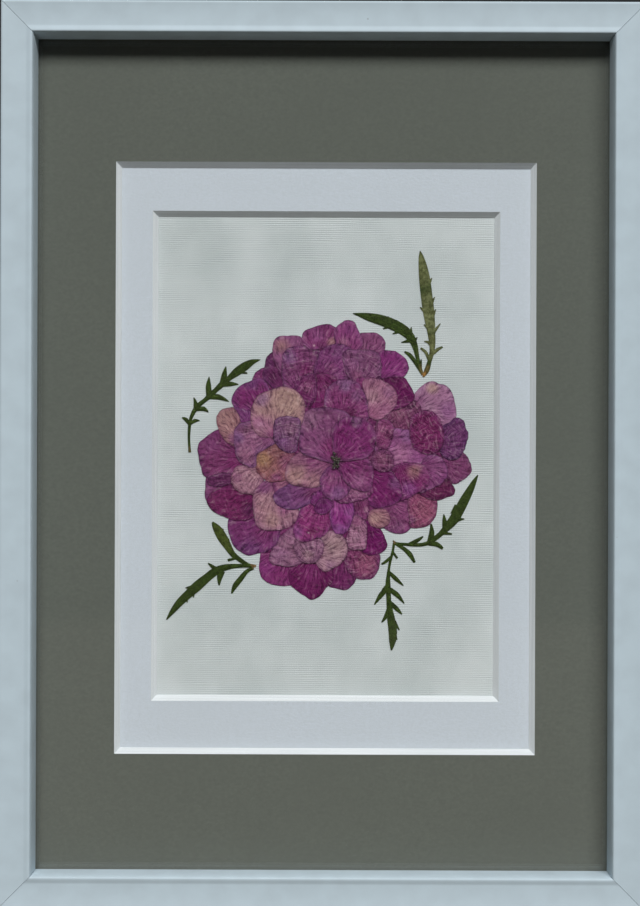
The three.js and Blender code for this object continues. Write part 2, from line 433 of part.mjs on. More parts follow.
// Each piece is laid on the ones before it. A petal is one sepal, picked singly, and a floret
// is a few that grew together round an eye. An outline is a closed run of points [x, z],
// measured from the picture's middle, through which its edge curves.
const FLOWER_PIECES = [
  { name: "petal_far_left", color: "#7d5478", sepals: [
    [[-40.9, -8], [-41.3, -12], [-41.2, -15.6], [-38.6, -18], [-33, -16], [-30, -10],
      [-33, -5.5], [-38, -6]]] },
  { name: "petal_left_purple", color: "#73305f", sepals: [
    [[-35.6, 9.2], [-38.6, 8.1], [-41.6, 5.8], [-44.1, 3.2], [-43.8, 0], [-43, -4],
      [-41.4, -7.7], [-37.5, -8.2], [-32, -7], [-27, -4.5], [-27, 4], [-31, 8]]] },
  { name: "petal_left_magenta", color: "#75275f", sepals: [
    [[-20.6, 26.5], [-22.8, 27.1], [-25.6, 26], [-29, 24.6], [-31.3, 21.8], [-32.1, 19.2],
      [-31.5, 16.6], [-29.5, 12], [-26, 9.5], [-22, 13], [-18.5, 21]]] },
  { name: "petal_left_striped", color: "#96716b", sepals: [
    [[-31.5, 16.7], [-34.4, 16.4], [-36.8, 14.8], [-37.5, 12], [-36.8, 9.2], [-35, 6],
      [-33, 4], [-30.2, 3], [-27.8, 7], [-29, 12.2], [-30, 14.8]]] },
  { name: "petal_upper_left_dark", color: "#4d2340", sepals: [
    [[-17.2, 36.4], [-19.4, 35.1], [-20.2, 33.3], [-20.7, 30.5], [-21.4, 28], [-19.5, 25.3],
      [-15.5, 22.5], [-12, 26], [-13, 32]]] },
  { name: "petal_upper_left_tan", color: "#8b5f6c", sepals: [
    [[-17.8, 37.5], [-17.2, 40.3], [-15.2, 41.9], [-12, 42.1], [-7.6, 41.7], [-5.5, 37],
      [-8.5, 31], [-13.5, 27.6], [-16.6, 32], [-17.6, 35]]] },
  { name: "petal_low_left_magenta", color: "#8c3a70", sepals: [
    [[-21.5, -34], [-22, -37], [-22.3, -40.2], [-21.5, -42.8], [-19.5, -44.8], [-16, -46],
      [-12.5, -46.2], [-9.5, -45.6], [-7.5, -42], [-9, -36.5], [-15, -33], [-19, -31.5]]] },
  { name: "petal_bottom_purple", color: "#6d2a5c", sepals: [
    [[2.6, -46.3], [5.5, -47], [8, -47.6], [10.4, -46], [12, -43.8], [13, -40.5],
      [11.8, -37], [8.5, -34.5], [4, -35.5], [0.8, -40], [1, -44]]] },
  { name: "petal_bottom_magenta", color: "#6a1d55", sepals: [
    [[-10.6, -46.3], [-9.2, -47.7], [-6.4, -49.5], [-4.2, -50.9], [-1.8, -50.4], [0, -49],
      [1.3, -47], [3.6, -44.7], [3.9, -42], [2, -38.3], [-3, -36], [-8, -36.8],
      [-11.2, -39.8], [-11.8, -43.5]]] },
  { name: "petal_low_right_wrinkled", color: "#85456e", sepals: [
    [[8, -33.2], [13, -32], [18, -33.5], [20.4, -35.2], [20.3, -38], [19.6, -41],
      [18.6, -42.6], [16.4, -43.7], [12.2, -43.4], [9.4, -41], [7.8, -37]]] },
  { name: "petal_low_right_deep", color: "#741f5c", sepals: [
    [[15.5, -22.8], [18.3, -24], [20, -25.3], [21.8, -28.2], [22.8, -30.8], [22.8, -32.4],
      [21.6, -33.8], [19.8, -34.8], [17, -35.2], [14.2, -34], [12, -31], [13, -26]]] },
  { name: "floret_pale", color: "#a98993", eye: [-2, -36.2], sepals: [
    [[-16.2, -30.4], [-13.5, -27.5], [-10, -25.5], [-6.5, -27.5], [-3, -31], [-1.5, -35.5],
      [-3.5, -37.6], [-7, -38], [-10.5, -39.2], [-15, -39], [-18, -38], [-18.4, -35]],
    [[-1.5, -29.8], [0.3, -28], [3, -26.6], [6, -27.4], [8.3, -30], [8.9, -33], [8.2, -36],
      [6, -38.5], [3, -40.3], [0.7, -40.9], [-0.8, -39.8], [-2.6, -37.2], [-3.4, -33]]] },
  { name: "petal_low_left_purple", color: "#7c3c6f", sepals: [
    [[-33, -22.4], [-33.3, -25], [-32.8, -28], [-31.8, -31], [-30, -33.3], [-26.5, -35.4],
      [-23, -34.8], [-20, -34.3], [-17.6, -32.8], [-15.6, -30.2], [-14.8, -27], [-17, -23],
      [-23, -20], [-29, -19.5]]] },
  { name: "petal_lower_left_magenta", color: "#742454", sepals: [
    [[-40.9, -16], [-39, -13.3], [-36, -11.4], [-31, -10], [-26, -10.5], [-22.5, -14],
      [-22.5, -20], [-27, -22.9], [-32.5, -22.7], [-36.5, -21], [-39.6, -18.8]]] },
  { name: "petal_left_beige_pink", color: "#a5788a", sepals: [
    [[-32.3, -8], [-31.8, -10.5], [-29.5, -13], [-26, -13.9], [-22.5, -13.6], [-20.8, -10],
      [-21.6, -5], [-26, -3.8], [-30, -4]]] },
  { name: "petal_long_beige", color: "#a87b86", sepals: [
    [[-24.3, -14], [-22.6, -10.6], [-18.5, -8.4], [-14.5, -10], [-12, -15], [-8, -19.5],
      [-8.4, -22], [-12.3, -25.6], [-16, -26.5], [-20.5, -26.3], [-23.2, -24.6], [-24, -21],
      [-24.5, -17]]] },
  { name: "petal_left_orange", color: "#9c6f58", sepals: [
    [[-23.9, -2.5], [-22.5, 0.6], [-19.5, 3], [-15.5, 5], [-10.5, 3], [-10, -3], [-12, -8.2],
      [-17, -9.6], [-20.5, -8.7], [-23.2, -5.6]]] },
  { name: "petal_left_mauve", color: "#8b5f83", sepals: [
    [[-30.9, 9.5], [-28.5, 11.4], [-23, 11.5], [-18, 9], [-15.5, 6], [-17, 3.9],
      [-20.2, 1.9], [-23, 0.2], [-23.6, -4.4], [-27, -3.8], [-30.2, -1.3], [-31.2, 4]]] },
  { name: "petal_top_rose", color: "#80406f", sepals: [
    [[-7.4, 42], [-6.2, 43.9], [-3, 45.2], [1, 46.2], [4.4, 45.1], [6.5, 41.5], [4.6, 38.6],
      [0, 37.6], [-4.5, 37.2], [-7.2, 39.4]]] },
  { name: "petal_upper_right_rose", color: "#874a75", sepals: [
    [[12.6, 42.6], [16, 43.4], [19.3, 42.9], [21.5, 41], [22.1, 38], [20.5, 34.5], [14, 33],
      [10, 37]]] },
  { name: "petal_top_tall", color: "#803c6c", sepals: [
    [[4, 44.4], [6.4, 46.8], [9.2, 47.6], [11, 47], [12.4, 44.2], [14.2, 40], [12, 36],
      [6.5, 36], [4.2, 40]]] },
  { name: "petal_upper_left_wrinkled", color: "#6c3560", sepals: [
    [[-14.4, 33], [-13.8, 36.4], [-10.5, 38.2], [-6, 38.3], [-1.3, 36.8], [-1.4, 32],
      [-3.5, 27], [-7, 22], [-12.5, 22], [-14.4, 28]]] },
  { name: "floret_top", color: "#783261", eye: [-2.9, 28], sepals: [
    [[-3, 27.6], [-2.4, 33], [-0.6, 37], [4, 39.2], [9, 38.4], [12, 33.5], [9.5, 27.5],
      [4, 25.5]],
    [[-3.5, 28.4], [3.5, 28.2], [6, 24.5], [5.5, 18], [1, 15.2], [-4, 16], [-5.5, 22]],
    [[-2.6, 28.2], [-6.5, 28.3], [-9.5, 25.5], [-9, 20.5], [-5.5, 17], [-2.5, 20]]] },
  { name: "petal_far_right_rose", color: "#754465", sepals: [
    [[49.4, 1.2], [50.8, 0], [52, -2.3], [52.7, -4.6], [52.5, -6], [51, -7.4], [48.5, -9.2],
      [46.3, -10.1], [43.4, -8], [42, -4], [43, 1]]] },
  { name: "petal_far_right_dark", color: "#553253", sepals: [
    [[45, 12], [47, 13.6], [49, 12.9], [50.2, 11.3], [50.6, 9.2], [51.6, 7.8], [51.2, 6.2],
      [50.6, 4], [49.8, 1.6], [48, -0.8], [45, -1.6], [42, 0], [40.5, 5], [42, 10.2]]] },
  { name: "petal_right_pale", color: "#9d7494", sepals: [
    [[32.2, 21.8], [34, 23.7], [36.2, 25.4], [38.5, 26.2], [40, 25.9], [40.9, 25.4],
      [42.4, 25.3], [44.6, 23.8], [46, 20.8], [46.9, 17], [47.1, 13.8], [45, 10.5], [41, 9.5],
      [36, 12], [32, 17]]] },
  { name: "petal_right_brown", color: "#73486a", sepals: [
    [[19, 12], [22, 14], [25, 16.4], [28.5, 18], [31, 19], [33, 19.3], [34.4, 17.5],
      [35, 14], [34, 8], [28, 7], [22, 7.6], [18.8, 9.4]]] },
  { name: "petal_right_deep", color: "#5f1248", sepals: [
    [[21, 29], [25, 29.5], [28.4, 27.7], [30.5, 25.2], [32, 22.2], [32.2, 20], [29.5, 17.3],
      [24.5, 16], [20, 18], [19, 24]]] },
  { name: "petal_right_magenta", color: "#7d2d6c", sepals: [
    [[20, 36.4], [23.5, 37.1], [27, 36], [29.5, 33.5], [30.3, 30.8], [28.6, 27.7], [24.5, 27.8],
      [20.5, 27], [18.5, 31]]] },
  { name: "petal_upper_mauve", color: "#7c4a73", sepals: [
    [[7.4, 36.4], [12, 37.3], [17, 37], [20, 35.5], [20.6, 31], [19.8, 26.5], [15, 24.5],
      [10.5, 26], [7.4, 31]]] },
  { name: "petal_upper_shadowed", color: "#763466", sepals: [
    [[1.5, 23.5], [4.5, 26], [9, 26.7], [12.6, 25.2], [14.8, 21.5], [16.4, 17], [16.4, 13],
      [11, 11.5], [4, 13], [0.6, 18]]] },
  { name: "petal_right_blush", color: "#a2707f", sepals: [
    [[13.8, 26], [17, 27.1], [21, 26.4], [25, 23.8], [26.4, 20.5], [25.3, 17], [22.5, 14],
      [19, 12.4], [16.4, 13.6], [15.8, 19], [14.6, 22.5]]] },
  { name: "petal_right_lilac", color: "#8a4e80", sepals: [
    [[18.4, 8], [22, 9.6], [28, 9.4], [33.5, 8], [38, 4], [40, -1], [36, -5], [30, -4.5],
      [24, -5], [19, 0]]] },
  { name: "petal_right_crinkled", color: "#702a5c", sepals: [
    [[31, 13.2], [33.5, 15.2], [36, 16], [38.5, 15.6], [40.5, 14], [42, 11], [42.7, 7.5],
      [42.4, 4], [40.5, 1.5], [36, 0.5], [32, 3], [30.6, 8]]] },
  { name: "petal_lower_right_mauve", color: "#7d4370", sepals: [
    [[20.4, -25], [22.5, -26], [25, -27.3], [27.8, -27.7], [30, -27], [31.2, -25.4],
      [32, -20], [31, -15], [26, -13.5], [22.5, -16], [20, -20.5]]] },
  { name: "petal_right_salmon", color: "#8b4c6b", sepals: [
    [[40.3, -15], [40.5, -18], [40, -21], [38.9, -23.2], [37, -24.7], [34.5, -25.5],
      [31.2, -25.6], [30.5, -22], [30.1, -17.5], [30.6, -13.5], [34, -11], [38.5, -12]]] },
  { name: "petal_right_dark_tip", color: "#5a1a42", sepals: [
    [[45.8, -10], [46.9, -12.2], [46.2, -13.8], [43.5, -14.9], [40.7, -15.7], [37, -15.2],
      [34, -13], [36, -9], [41, -7], [44.5, -8]]] },
  { name: "petal_right_veined", color: "#814f79", sepals: [
    [[37, 0.2], [40.5, 0], [42.8, -1.8], [44, -4.5], [44, -7.3], [42, -9.8], [38, -11.8],
      [34.6, -13.2], [33.6, -9], [34.6, -3]]] },
  { name: "petal_right_yellow_eye", color: "#824a6c", sepals: [
    [[24.2, -4.8], [26, -3.1], [28.5, -2.4], [32, -2.6], [36, -3.6], [38, -7], [37, -11],
      [33.5, -13.2], [30, -15.3], [27, -16], [24.6, -13], [24, -8]]] },
  { name: "petal_middle_magenta", color: "#6c2259", sepals: [
    [[16, -4], [22.5, -4], [26, -7.5], [27.8, -11], [28, -15], [25, -17.4], [21, -18.5],
      [17.6, -18.2], [14.8, -15.5], [14, -10]]] },
  { name: "petal_shiny_magenta", color: "#782460", sepals: [
    [[-10.2, -25.5], [-8.7, -22], [-7.5, -18.5], [-4, -16], [0, -16], [3.4, -18.5],
      [4.2, -22.5], [2.8, -25.5], [1, -28], [-2.5, -29.5], [-6, -30.5], [-8.8, -30],
      [-10, -28]]] },
  { name: "petal_violet", color: "#81367c", sepals: [
    [[2.6, -20], [3.4, -15.5], [7, -13.5], [10.2, -15.5], [11.2, -20], [10.6, -23],
      [9.3, -26], [7.5, -27.6], [5, -27.7], [3.6, -25.8], [2.6, -23]]] },
  { name: "petal_blue_mauve", color: "#6a3f6c", sepals: [
    [[-17, -13.5], [-14.5, -11.6], [-10, -9.6], [-4, -9.6], [0, -11.5], [-1.4, -14.8],
      [-4.8, -17.2], [-8, -18.8], [-11.5, -19.4], [-15, -18.2], [-17, -16.2]]] },
  { name: "floret_bud", color: "#6d2365", eye: [-0.4, -17.2], sepals: [
    [[-4.2, -17], [-3.6, -14], [-1.6, -12.4], [1, -12.4], [2.2, -14.8], [0.6, -17.6],
      [-2, -18.4]],
    [[-3, -19], [-1.2, -20.8], [0.8, -21], [2.8, -19.4], [4, -16.8], [1.6, -15], [-1.6, -16]]] },
  { name: "floret_centre", color: "#74345f", eye: [4.6, -1.4], sepals: [
    [[2.6, -0.6], [-3, 1.4], [-9, 0.6], [-12.4, -3.4], [-13.2, -7], [-12, -9.7], [-8, -11],
      [-3.5, -11.4], [-0.6, -10.6], [1, -6], [4.4, -2.6]],
    [[5.6, -2.6], [1.4, -4.6], [-0.9, -8.5], [-0.5, -12], [1.5, -14.8], [4.5, -15.8],
      [7.5, -15], [9.7, -12.5], [10, -9], [7.5, -5]],
    [[4.6, -1], [10, 0.6], [15, 0], [17.7, -3.6], [18, -8], [17.2, -11.5], [15.3, -13],
      [12.5, -12.2], [8.8, -10.4], [6, -6]],
    [[5.4, -2.4], [-1, -1.6], [-7.6, 1], [-8.2, 7], [-6.8, 13.8], [-4, 16.3], [2, 16.8],
      [7, 15.8], [10, 13], [8, 6]],
    [[4.4, -1.6], [3.5, 5], [3.3, 8], [4.4, 11], [6.6, 12.8], [9.5, 13.7], [12.6, 13.5],
      [15.6, 12.2], [17.6, 10], [18.7, 6.6], [18.4, 2.6], [16, -0.6], [12, -1.6]]] },
  { name: "petal_beige_large", color: "#a57f74", sepals: [
    [[-25.4, 13], [-25.1, 16.5], [-23.2, 20.5], [-19, 22.8], [-14, 24], [-10, 23],
      [-7.2, 20.3], [-6.2, 17], [-7.5, 11], [-12, 7], [-18, 6.2], [-22, 6.6],
      [-24.4, 9.2]]] },
];

function petalOutline(points) {
  const corners = points.map(([x, z]) => new THREE.Vector3(x, z, 0));
  const curve = new THREE.CatmullRomCurve3(corners, true, "centripetal");
  const smooth = curve.getSpacedPoints(PETAL_STEPS).slice(0, -1);
  return smooth.map(({ x, y }) => new THREE.Vector2(x, y));
}

const turn = (a, b, c) => (b.x - a.x) * (c.y - a.y) - (b.y - a.y) * (c.x - a.x);

const cross = (a, b, c, d) =>
  turn(a, b, c) * turn(a, b, d) < 0 && turn(c, d, a) * turn(c, d, b) < 0;

const edges = (outline) => outline.map((point, i) => [point, outline[(i + 1) % outline.length]]);

// A ray to the right of the point crosses the outline an odd number of times.
function inside(point, outline) {
  const far = new THREE.Vector2(point.x + FRAME_WIDTH, point.y + 1);
  return edges(outline).filter(([a, b]) => cross(point, far, a, b)).length % 2 === 1;
}

const overlap = (first, second) =>
  inside(first[0], second) ||
  inside(second[0], first) ||
  edges(first).some(([a, b]) => edges(second).some(([c, d]) => cross(a, b, c, d)));

// The highest of the laid pieces that these outlines cover any of.
function restingHeight(outlines, laid) {
  const under = laid.filter((piece) =>
    outlines.some((outline) => piece.outlines.some((other) => overlap(outline, other))),
  );
  return Math.max(CARD_FRONT, ...under.map((piece) => piece.top)) + PETAL_GAP;
}

// The low button of a floret, where its sepals meet.
function floretEye([x, z], back, depth) {
  const { radius, height } = FLORET_EYE;
  const side = [
    new THREE.Vector2(0, 0),
    new THREE.Vector2(radius, 0),
    new THREE.Vector2(radius, depth),
    new THREE.Vector2(radius / 2, depth + height),
    new THREE.Vector2(0, depth + height),
  ];
  const button = new THREE.LatheGeometry(side, 10);
  return button.rotateX(Math.PI).translate(x, -back, z);
}

function flowerPiece({ name, color, sepals, eye }, laid) {
  const outlines = sepals.map(petalOutline);
  const base = restingHeight(outlines, laid);
  const solids = outlines.map((outline, i) =>
    toSolid(flatPiece(outline, base + i * SEPAL_STEP, PETAL_THICKNESS)),
  );
  const depth = PETAL_THICKNESS + (sepals.length - 1) * SEPAL_STEP;
  if (eye) {
    solids.push(toSolid(floretEye(eye, base, depth)));
  }
  const top = base + depth + (eye ? FLORET_EYE.height : 0);
  return { outlines, top, mesh: named(name, toGeometry(joined(solids)), FINISH.petal(color)) };
}

function collage() {
  const laid = Object.entries(SPRIGS).map(([name, strands]) => sprig(name, strands));
  for (const piece of FLOWER_PIECES) {
    laid.push(flowerPiece(piece, laid));
  }
  return laid.map((piece) => piece.mesh);
}

// ---------------------------------------------------------------- assembly

const pressedFlowerFrame = new THREE.Group();
pressedFlowerFrame.add(...rails(), ...sheets(), hanger(), ...collage());
pressedFlowerFrame.position.set(0, HOOK_FORWARD, -HOOK_HEIGHT);

export default pressedFlowerFrame;
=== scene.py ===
"""Dresses the pressed flower frame: moulding, glass, mounts, linen card, leaves and petals."""

import json
import math

import bpy
import numpy as np
from bpy.props import FloatProperty, FloatVectorProperty, IntProperty, PointerProperty
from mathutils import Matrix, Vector
from mathutils.geometry import delaunay_2d_cdt


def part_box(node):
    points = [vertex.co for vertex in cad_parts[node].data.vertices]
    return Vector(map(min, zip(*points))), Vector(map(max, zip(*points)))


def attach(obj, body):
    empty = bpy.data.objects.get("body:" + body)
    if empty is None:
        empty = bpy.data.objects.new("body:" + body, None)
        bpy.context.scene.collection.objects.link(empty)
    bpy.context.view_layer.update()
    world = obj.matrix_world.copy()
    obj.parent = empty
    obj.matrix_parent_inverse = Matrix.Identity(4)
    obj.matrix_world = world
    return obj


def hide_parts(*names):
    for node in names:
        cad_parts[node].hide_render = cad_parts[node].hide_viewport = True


bl_info = {
    "name": "Pressed flower frame",
    "version": (1, 0, 0),
    "blender": (4, 5, 0),
    "location": "3D View > Sidebar > Pressed flowers",
    "description": "Builds a framed collage of pressed hydrangea sepals and leaves",
    "category": "Add Mesh",
}

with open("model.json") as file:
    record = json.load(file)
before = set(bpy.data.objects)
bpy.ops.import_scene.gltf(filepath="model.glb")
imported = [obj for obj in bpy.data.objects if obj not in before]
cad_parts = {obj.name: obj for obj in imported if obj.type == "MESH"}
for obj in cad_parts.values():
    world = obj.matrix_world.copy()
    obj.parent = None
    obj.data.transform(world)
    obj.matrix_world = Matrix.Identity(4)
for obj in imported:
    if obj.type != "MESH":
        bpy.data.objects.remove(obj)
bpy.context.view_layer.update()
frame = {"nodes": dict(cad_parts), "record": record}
MM = 0.001

# Places in the picture are in mm from the middle of the frame, x to the right and z up.
LEFT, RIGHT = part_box("rail_left")[0].x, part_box("rail_right")[1].x
BOTTOM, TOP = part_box("rail_bottom")[0].z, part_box("rail_top")[1].z
MIDDLE = Vector(((LEFT + RIGHT) / 2, 0, (BOTTOM + TOP) / 2))
WALL_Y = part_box("rail_top")[1].y
CREST_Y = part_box("rail_top")[0].y
CARD_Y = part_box("linen_card")[0].y
BOARD_BACK_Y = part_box("backing_board")[1].y

# ------------------------------------------------------------------ colour and materials


def linear(code):
    """An sRGB hex colour as linear red, green and blue."""
    channels = [int(code[i : i + 2], 16) / 255 for i in (1, 3, 5)]
    return [c / 12.92 if c <= 0.04045 else ((c + 0.055) / 1.055) ** 2.4 for c in channels]


def rgba(code):
    """The same with full alpha, as a colour socket takes it."""
    return (*linear(code), 1)


def add(tree, kind, inputs=(), **settings):
    """Adds a node. inputs maps a socket's name or number to a value, or to what feeds it."""
    made = tree.nodes.new(kind)
    for name, value in settings.items():
        setattr(made, name, value)
    for name, value in dict(inputs).items():
        if isinstance(value, bpy.types.NodeSocket):
            tree.links.new(value, made.inputs[name])
        else:
            made.inputs[name].default_value = value
    return made


def new_material(name):
    """An empty material, with its tree and its object coordinates in metres."""
    material = bpy.data.materials.new(name)
    material.use_nodes = True
    tree = material.node_tree
    tree.nodes.clear()
    place = add(tree, "ShaderNodeTexCoord").outputs["Object"]
    return material, tree, place


def finish(tree, surface):
    """Closes a material with its output."""
    add(tree, "ShaderNodeOutputMaterial", {"Surface": surface})


def stretched(tree, place, scale):
    """The place scaled along each axis, in patterns per mm."""
    per_metre = [value / MM for value in scale]
    mapping = {"Vector": place, "Scale": per_metre}
    return add(tree, "ShaderNodeMapping", mapping).outputs["Vector"]


def noise_of(tree, place, scale, detail=2.0, rough=0.5):
    """Noise with that many features per mm along each axis."""
    inputs = {"Vector": stretched(tree, place, scale), "Scale": 1.0}
    inputs.update({"Detail": detail, "Roughness": rough})
    return add(tree, "ShaderNodeTexNoise", inputs).outputs["Fac"]


def levels(tree, value, low, high, to_low=0.0, to_high=1.0):
    """Maps low to high onto to_low to to_high, with what lies outside held at the ends."""
    inputs = {"Value": value, "From Min": low, "From Max": high}
    inputs.update({"To Min": to_low, "To Max": to_high})
    return add(tree, "ShaderNodeMapRange", inputs, clamp=True).outputs["Result"]


def math_of(tree, operation, first, second=0.0):
    """One sum on numbers. Those that take one number leave the second out."""
    inputs = {0: first, 1: second}
    return add(tree, "ShaderNodeMath", inputs, operation=operation).outputs[0]


def blend(tree, share, first, second, kind="MIX"):
    """Mixes two colours by a share of the second."""
    made = add(tree, "ShaderNodeMix", data_type="RGBA", blend_type=kind)
    for socket, value in ((0, share), (6, first), (7, second)):
        if isinstance(value, bpy.types.NodeSocket):
            tree.links.new(value, made.inputs[socket])
        else:
            made.inputs[socket].default_value = value
    return made.outputs[2]


def bump(tree, height, depth_mm, strength=1.0, under=None):
    """Relief of that depth, laid over the relief under it."""
    inputs = {"Height": height, "Distance": depth_mm * MM, "Strength": strength}
    if under is not None:
        inputs["Normal"] = under
    return add(tree, "ShaderNodeBump", inputs).outputs["Normal"]


def moulding_foil(settings):
    """Satin white foil wrapped round a moulding: even, faintly rippled, with a few specks."""
    material, tree, place = new_material("Satin white moulding foil")
    ripple = noise_of(tree, place, (0.12, 0.12, 0.12), 3.0)
    white = tuple(settings.moulding_colour)
    cloud = blend(tree, levels(tree, ripple, 0.35, 0.7, 0.0, 0.5), (*white, 1), rgba("#bccbd6"))
    # A speck of dust or a pinhole about every 15 mm.
    cells = {"Vector": stretched(tree, place, (0.07, 0.07, 0.07)), "Scale": 1.0}
    dust = add(tree, "ShaderNodeTexVoronoi", cells).outputs["Distance"]
    colour = blend(tree, levels(tree, dust, 0.02, 0.035, 0.5, 0.0), cloud, rgba("#8d9296"))
    grain = noise_of(tree, place, (3, 3, 3), 2.0)
    relief = bump(tree, grain, 0.012, 0.35)
    relief = bump(tree, ripple, 0.15, 0.25, relief)
    inputs = {"Base Color": colour, "Roughness": 0.5, "Normal": relief, "IOR": 1.5}
    inputs["Specular IOR Level"] = 0.15
    finish(tree, add(tree, "ShaderNodeBsdfPrincipled", inputs).outputs[0])
    return material


def float_glass():
    """Picture glass: clear, flat and polished, and light falls through it unchanged."""
    material, tree, _ = new_material("Clear picture glass")
    pane = {"Base Color": rgba("#fdfdfd"), "Roughness": 0.0, "IOR": 1.5}
    pane["Transmission Weight"] = 1.0
    glass = add(tree, "ShaderNodeBsdfPrincipled", pane).outputs[0]
    clear = add(tree, "ShaderNodeBsdfTransparent", {"Color": rgba("#fdfdfd")}).outputs[0]
    rays = add(tree, "ShaderNodeLightPath").outputs
    through = math_of(tree, "MAXIMUM", rays["Is Shadow Ray"], rays["Is Diffuse Ray"])
    finish(tree, add(tree, "ShaderNodeMixShader", {0: through, 1: glass, 2: clear}).outputs[0])
    return material


def mount_board(name, face, fleck, tooth):
    """Paper-faced board: matt and softly mottled, with a clean white core at the bevel."""
    material, tree, place = new_material(name)
    # Felt marks about 1 mm across and fibres of 0.2 mm.
    felt = noise_of(tree, place, (0.9, 0.9, 1.3), 3.0, 0.6)
    fibre = noise_of(tree, place, (4, 4, 5), 2.0, 0.6)
    cloud = noise_of(tree, place, (0.03, 0.03, 0.03), 2.0)
    paper = blend(tree, levels(tree, felt, 0.3, 0.7), face, fleck)
    paper = blend(tree, levels(tree, cloud, 0.3, 0.7, 0.0, 0.35), paper, fleck)
    paper = blend(tree, levels(tree, fibre, 0.35, 0.75, 0.0, 0.25), paper, fleck)
    turned = add(tree, "ShaderNodeNewGeometry").outputs["True Normal"]
    facing = add(tree, "ShaderNodeSeparateXYZ", {0: turned}).outputs["Y"]
    sloping = levels(tree, math_of(tree, "ABSOLUTE", facing), 0.8, 0.9, 1.0, 0.0)
    # The blade leaves faint lines along the core, about 0.4 mm apart.
    layers = levels(tree, noise_of(tree, place, (0.02, 2.5, 0.02), 2.0), 0.3, 0.7, 0.0, 0.4)
    cut = blend(tree, layers, rgba("#f4faff"), rgba("#c6ced3"))
    colour = blend(tree, sloping, paper, cut)
    relief = bump(tree, felt, tooth, 0.6)
    relief = bump(tree, fibre, tooth / 3, 0.5, relief)
    inputs = {"Base Color": colour, "Roughness": 0.92, "Normal": relief}
    inputs["Specular IOR Level"] = 0.25
    finish(tree, add(tree, "ShaderNodeBsdfPrincipled", inputs).outputs[0])
    return material


def linen_card_paper(settings):
    """Card embossed with a linen weave: close horizontal ribs crossed by fainter threads."""
    material, tree, place = new_material("Linen embossed card")
    rib = settings.rib_spacing / MM
    # The threads waver by up to a millimetre and fade in and out over about 12 mm.
    axes = add(tree, "ShaderNodeSeparateXYZ", {0: stretched(tree, place, (1, 1, 1))})
    waver = math_of(tree, "MULTIPLY", noise_of(tree, place, (0.05, 0.05, 0.3), 2.0), 7.0)
    waves = []
    for axis, spacing, share in (("Z", rib, 0.8), ("X", rib * 1.1, 0.2)):
        turns = math_of(tree, "MULTIPLY", axes.outputs[axis], 2 * math.pi / spacing)
        wave = math_of(tree, "SINE", math_of(tree, "ADD", turns, waver))
        waves.append(math_of(tree, "MULTIPLY", wave, share))
    fade = levels(tree, noise_of(tree, place, (0.08, 0.08, 0.16), 3.0), 0.35, 0.65, 0.3, 1.0)
    weave = math_of(tree, "MULTIPLY", math_of(tree, "ADD", *waves), fade)
    cloud = noise_of(tree, place, (0.045, 0.045, 0.03), 3.0, 0.55)
    light, dark = (*settings.card_colour, 1), rgba("#9aa9ad")
    paper = blend(tree, levels(tree, cloud, 0.3, 0.7, 0.0, 0.75), light, rgba("#ccd7d9"))
    # The troughs of the weave are darkened as painted shade.
    colour = blend(tree, levels(tree, weave, 0.9, -0.9, 0.0, 0.27), paper, dark)
    relief = bump(tree, weave, 0.055, 1.0)
    inputs = {"Base Color": colour, "Roughness": 0.9, "Normal": relief}
    inputs["Specular IOR Level"] = 0.3
    finish(tree, add(tree, "ShaderNodeBsdfPrincipled", inputs).outputs[0])
    return material


def hardboard():
    """Hardboard: brown pressed fibre with a screen pattern, matt."""
    material, tree, place = new_material("Brown hardboard")
    fibre = noise_of(tree, place, (1.6, 1.6, 1.6), 4.0, 0.65)
    cloud = noise_of(tree, place, (0.02, 0.02, 0.02), 2.0)
    colour = blend(tree, levels(tree, fibre, 0.3, 0.7), rgba("#6d4f33"), rgba("#94724d"))
    colour = blend(tree, levels(tree, cloud, 0.3, 0.7, 0.0, 0.4), colour, rgba("#7b5a3a"))
    # The screen leaves dimples 1.5 mm apart.
    waves = []
    for direction, scale in (("X", (0.66, 0, 0)), ("Z", (0, 0, 0.66))):
        ribs = {"Vector": stretched(tree, place, scale), "Scale": 0.314}
        wave = add(tree, "ShaderNodeTexWave", ribs, bands_direction=direction)
        waves.append(wave.outputs["Fac"])
    mesh = math_of(tree, "MULTIPLY", *waves)
    relief = bump(tree, mesh, 0.12, 0.4, bump(tree, fibre, 0.08, 0.5))
    inputs = {"Base Color": colour, "Roughness": 0.8, "Normal": relief}
    finish(tree, add(tree, "ShaderNodeBsdfPrincipled", inputs).outputs[0])
    return material


def plated_steel(name, colour, rough):
    """Stamped strip: rolled lines along it and a dull plated bloom."""
    material, tree, place = new_material(name)
    rolled = noise_of(tree, place, (0.15, 3, 6), 2.0, 0.6)
    bloom = noise_of(tree, place, (0.6, 0.6, 0.6), 3.0)
    shade = blend(tree, levels(tree, bloom, 0.3, 0.7, 0.0, 0.5), rgba(colour), rgba("#8f8b82"))
    inputs = {"Base Color": shade, "Metallic": 1.0, "Normal": bump(tree, rolled, 0.02, 0.4)}
    inputs["Roughness"] = levels(tree, bloom, 0.3, 0.7, rough - 0.08, rough + 0.12)
    finish(tree, add(tree, "ShaderNodeBsdfPrincipled", inputs).outputs[0])
    return material


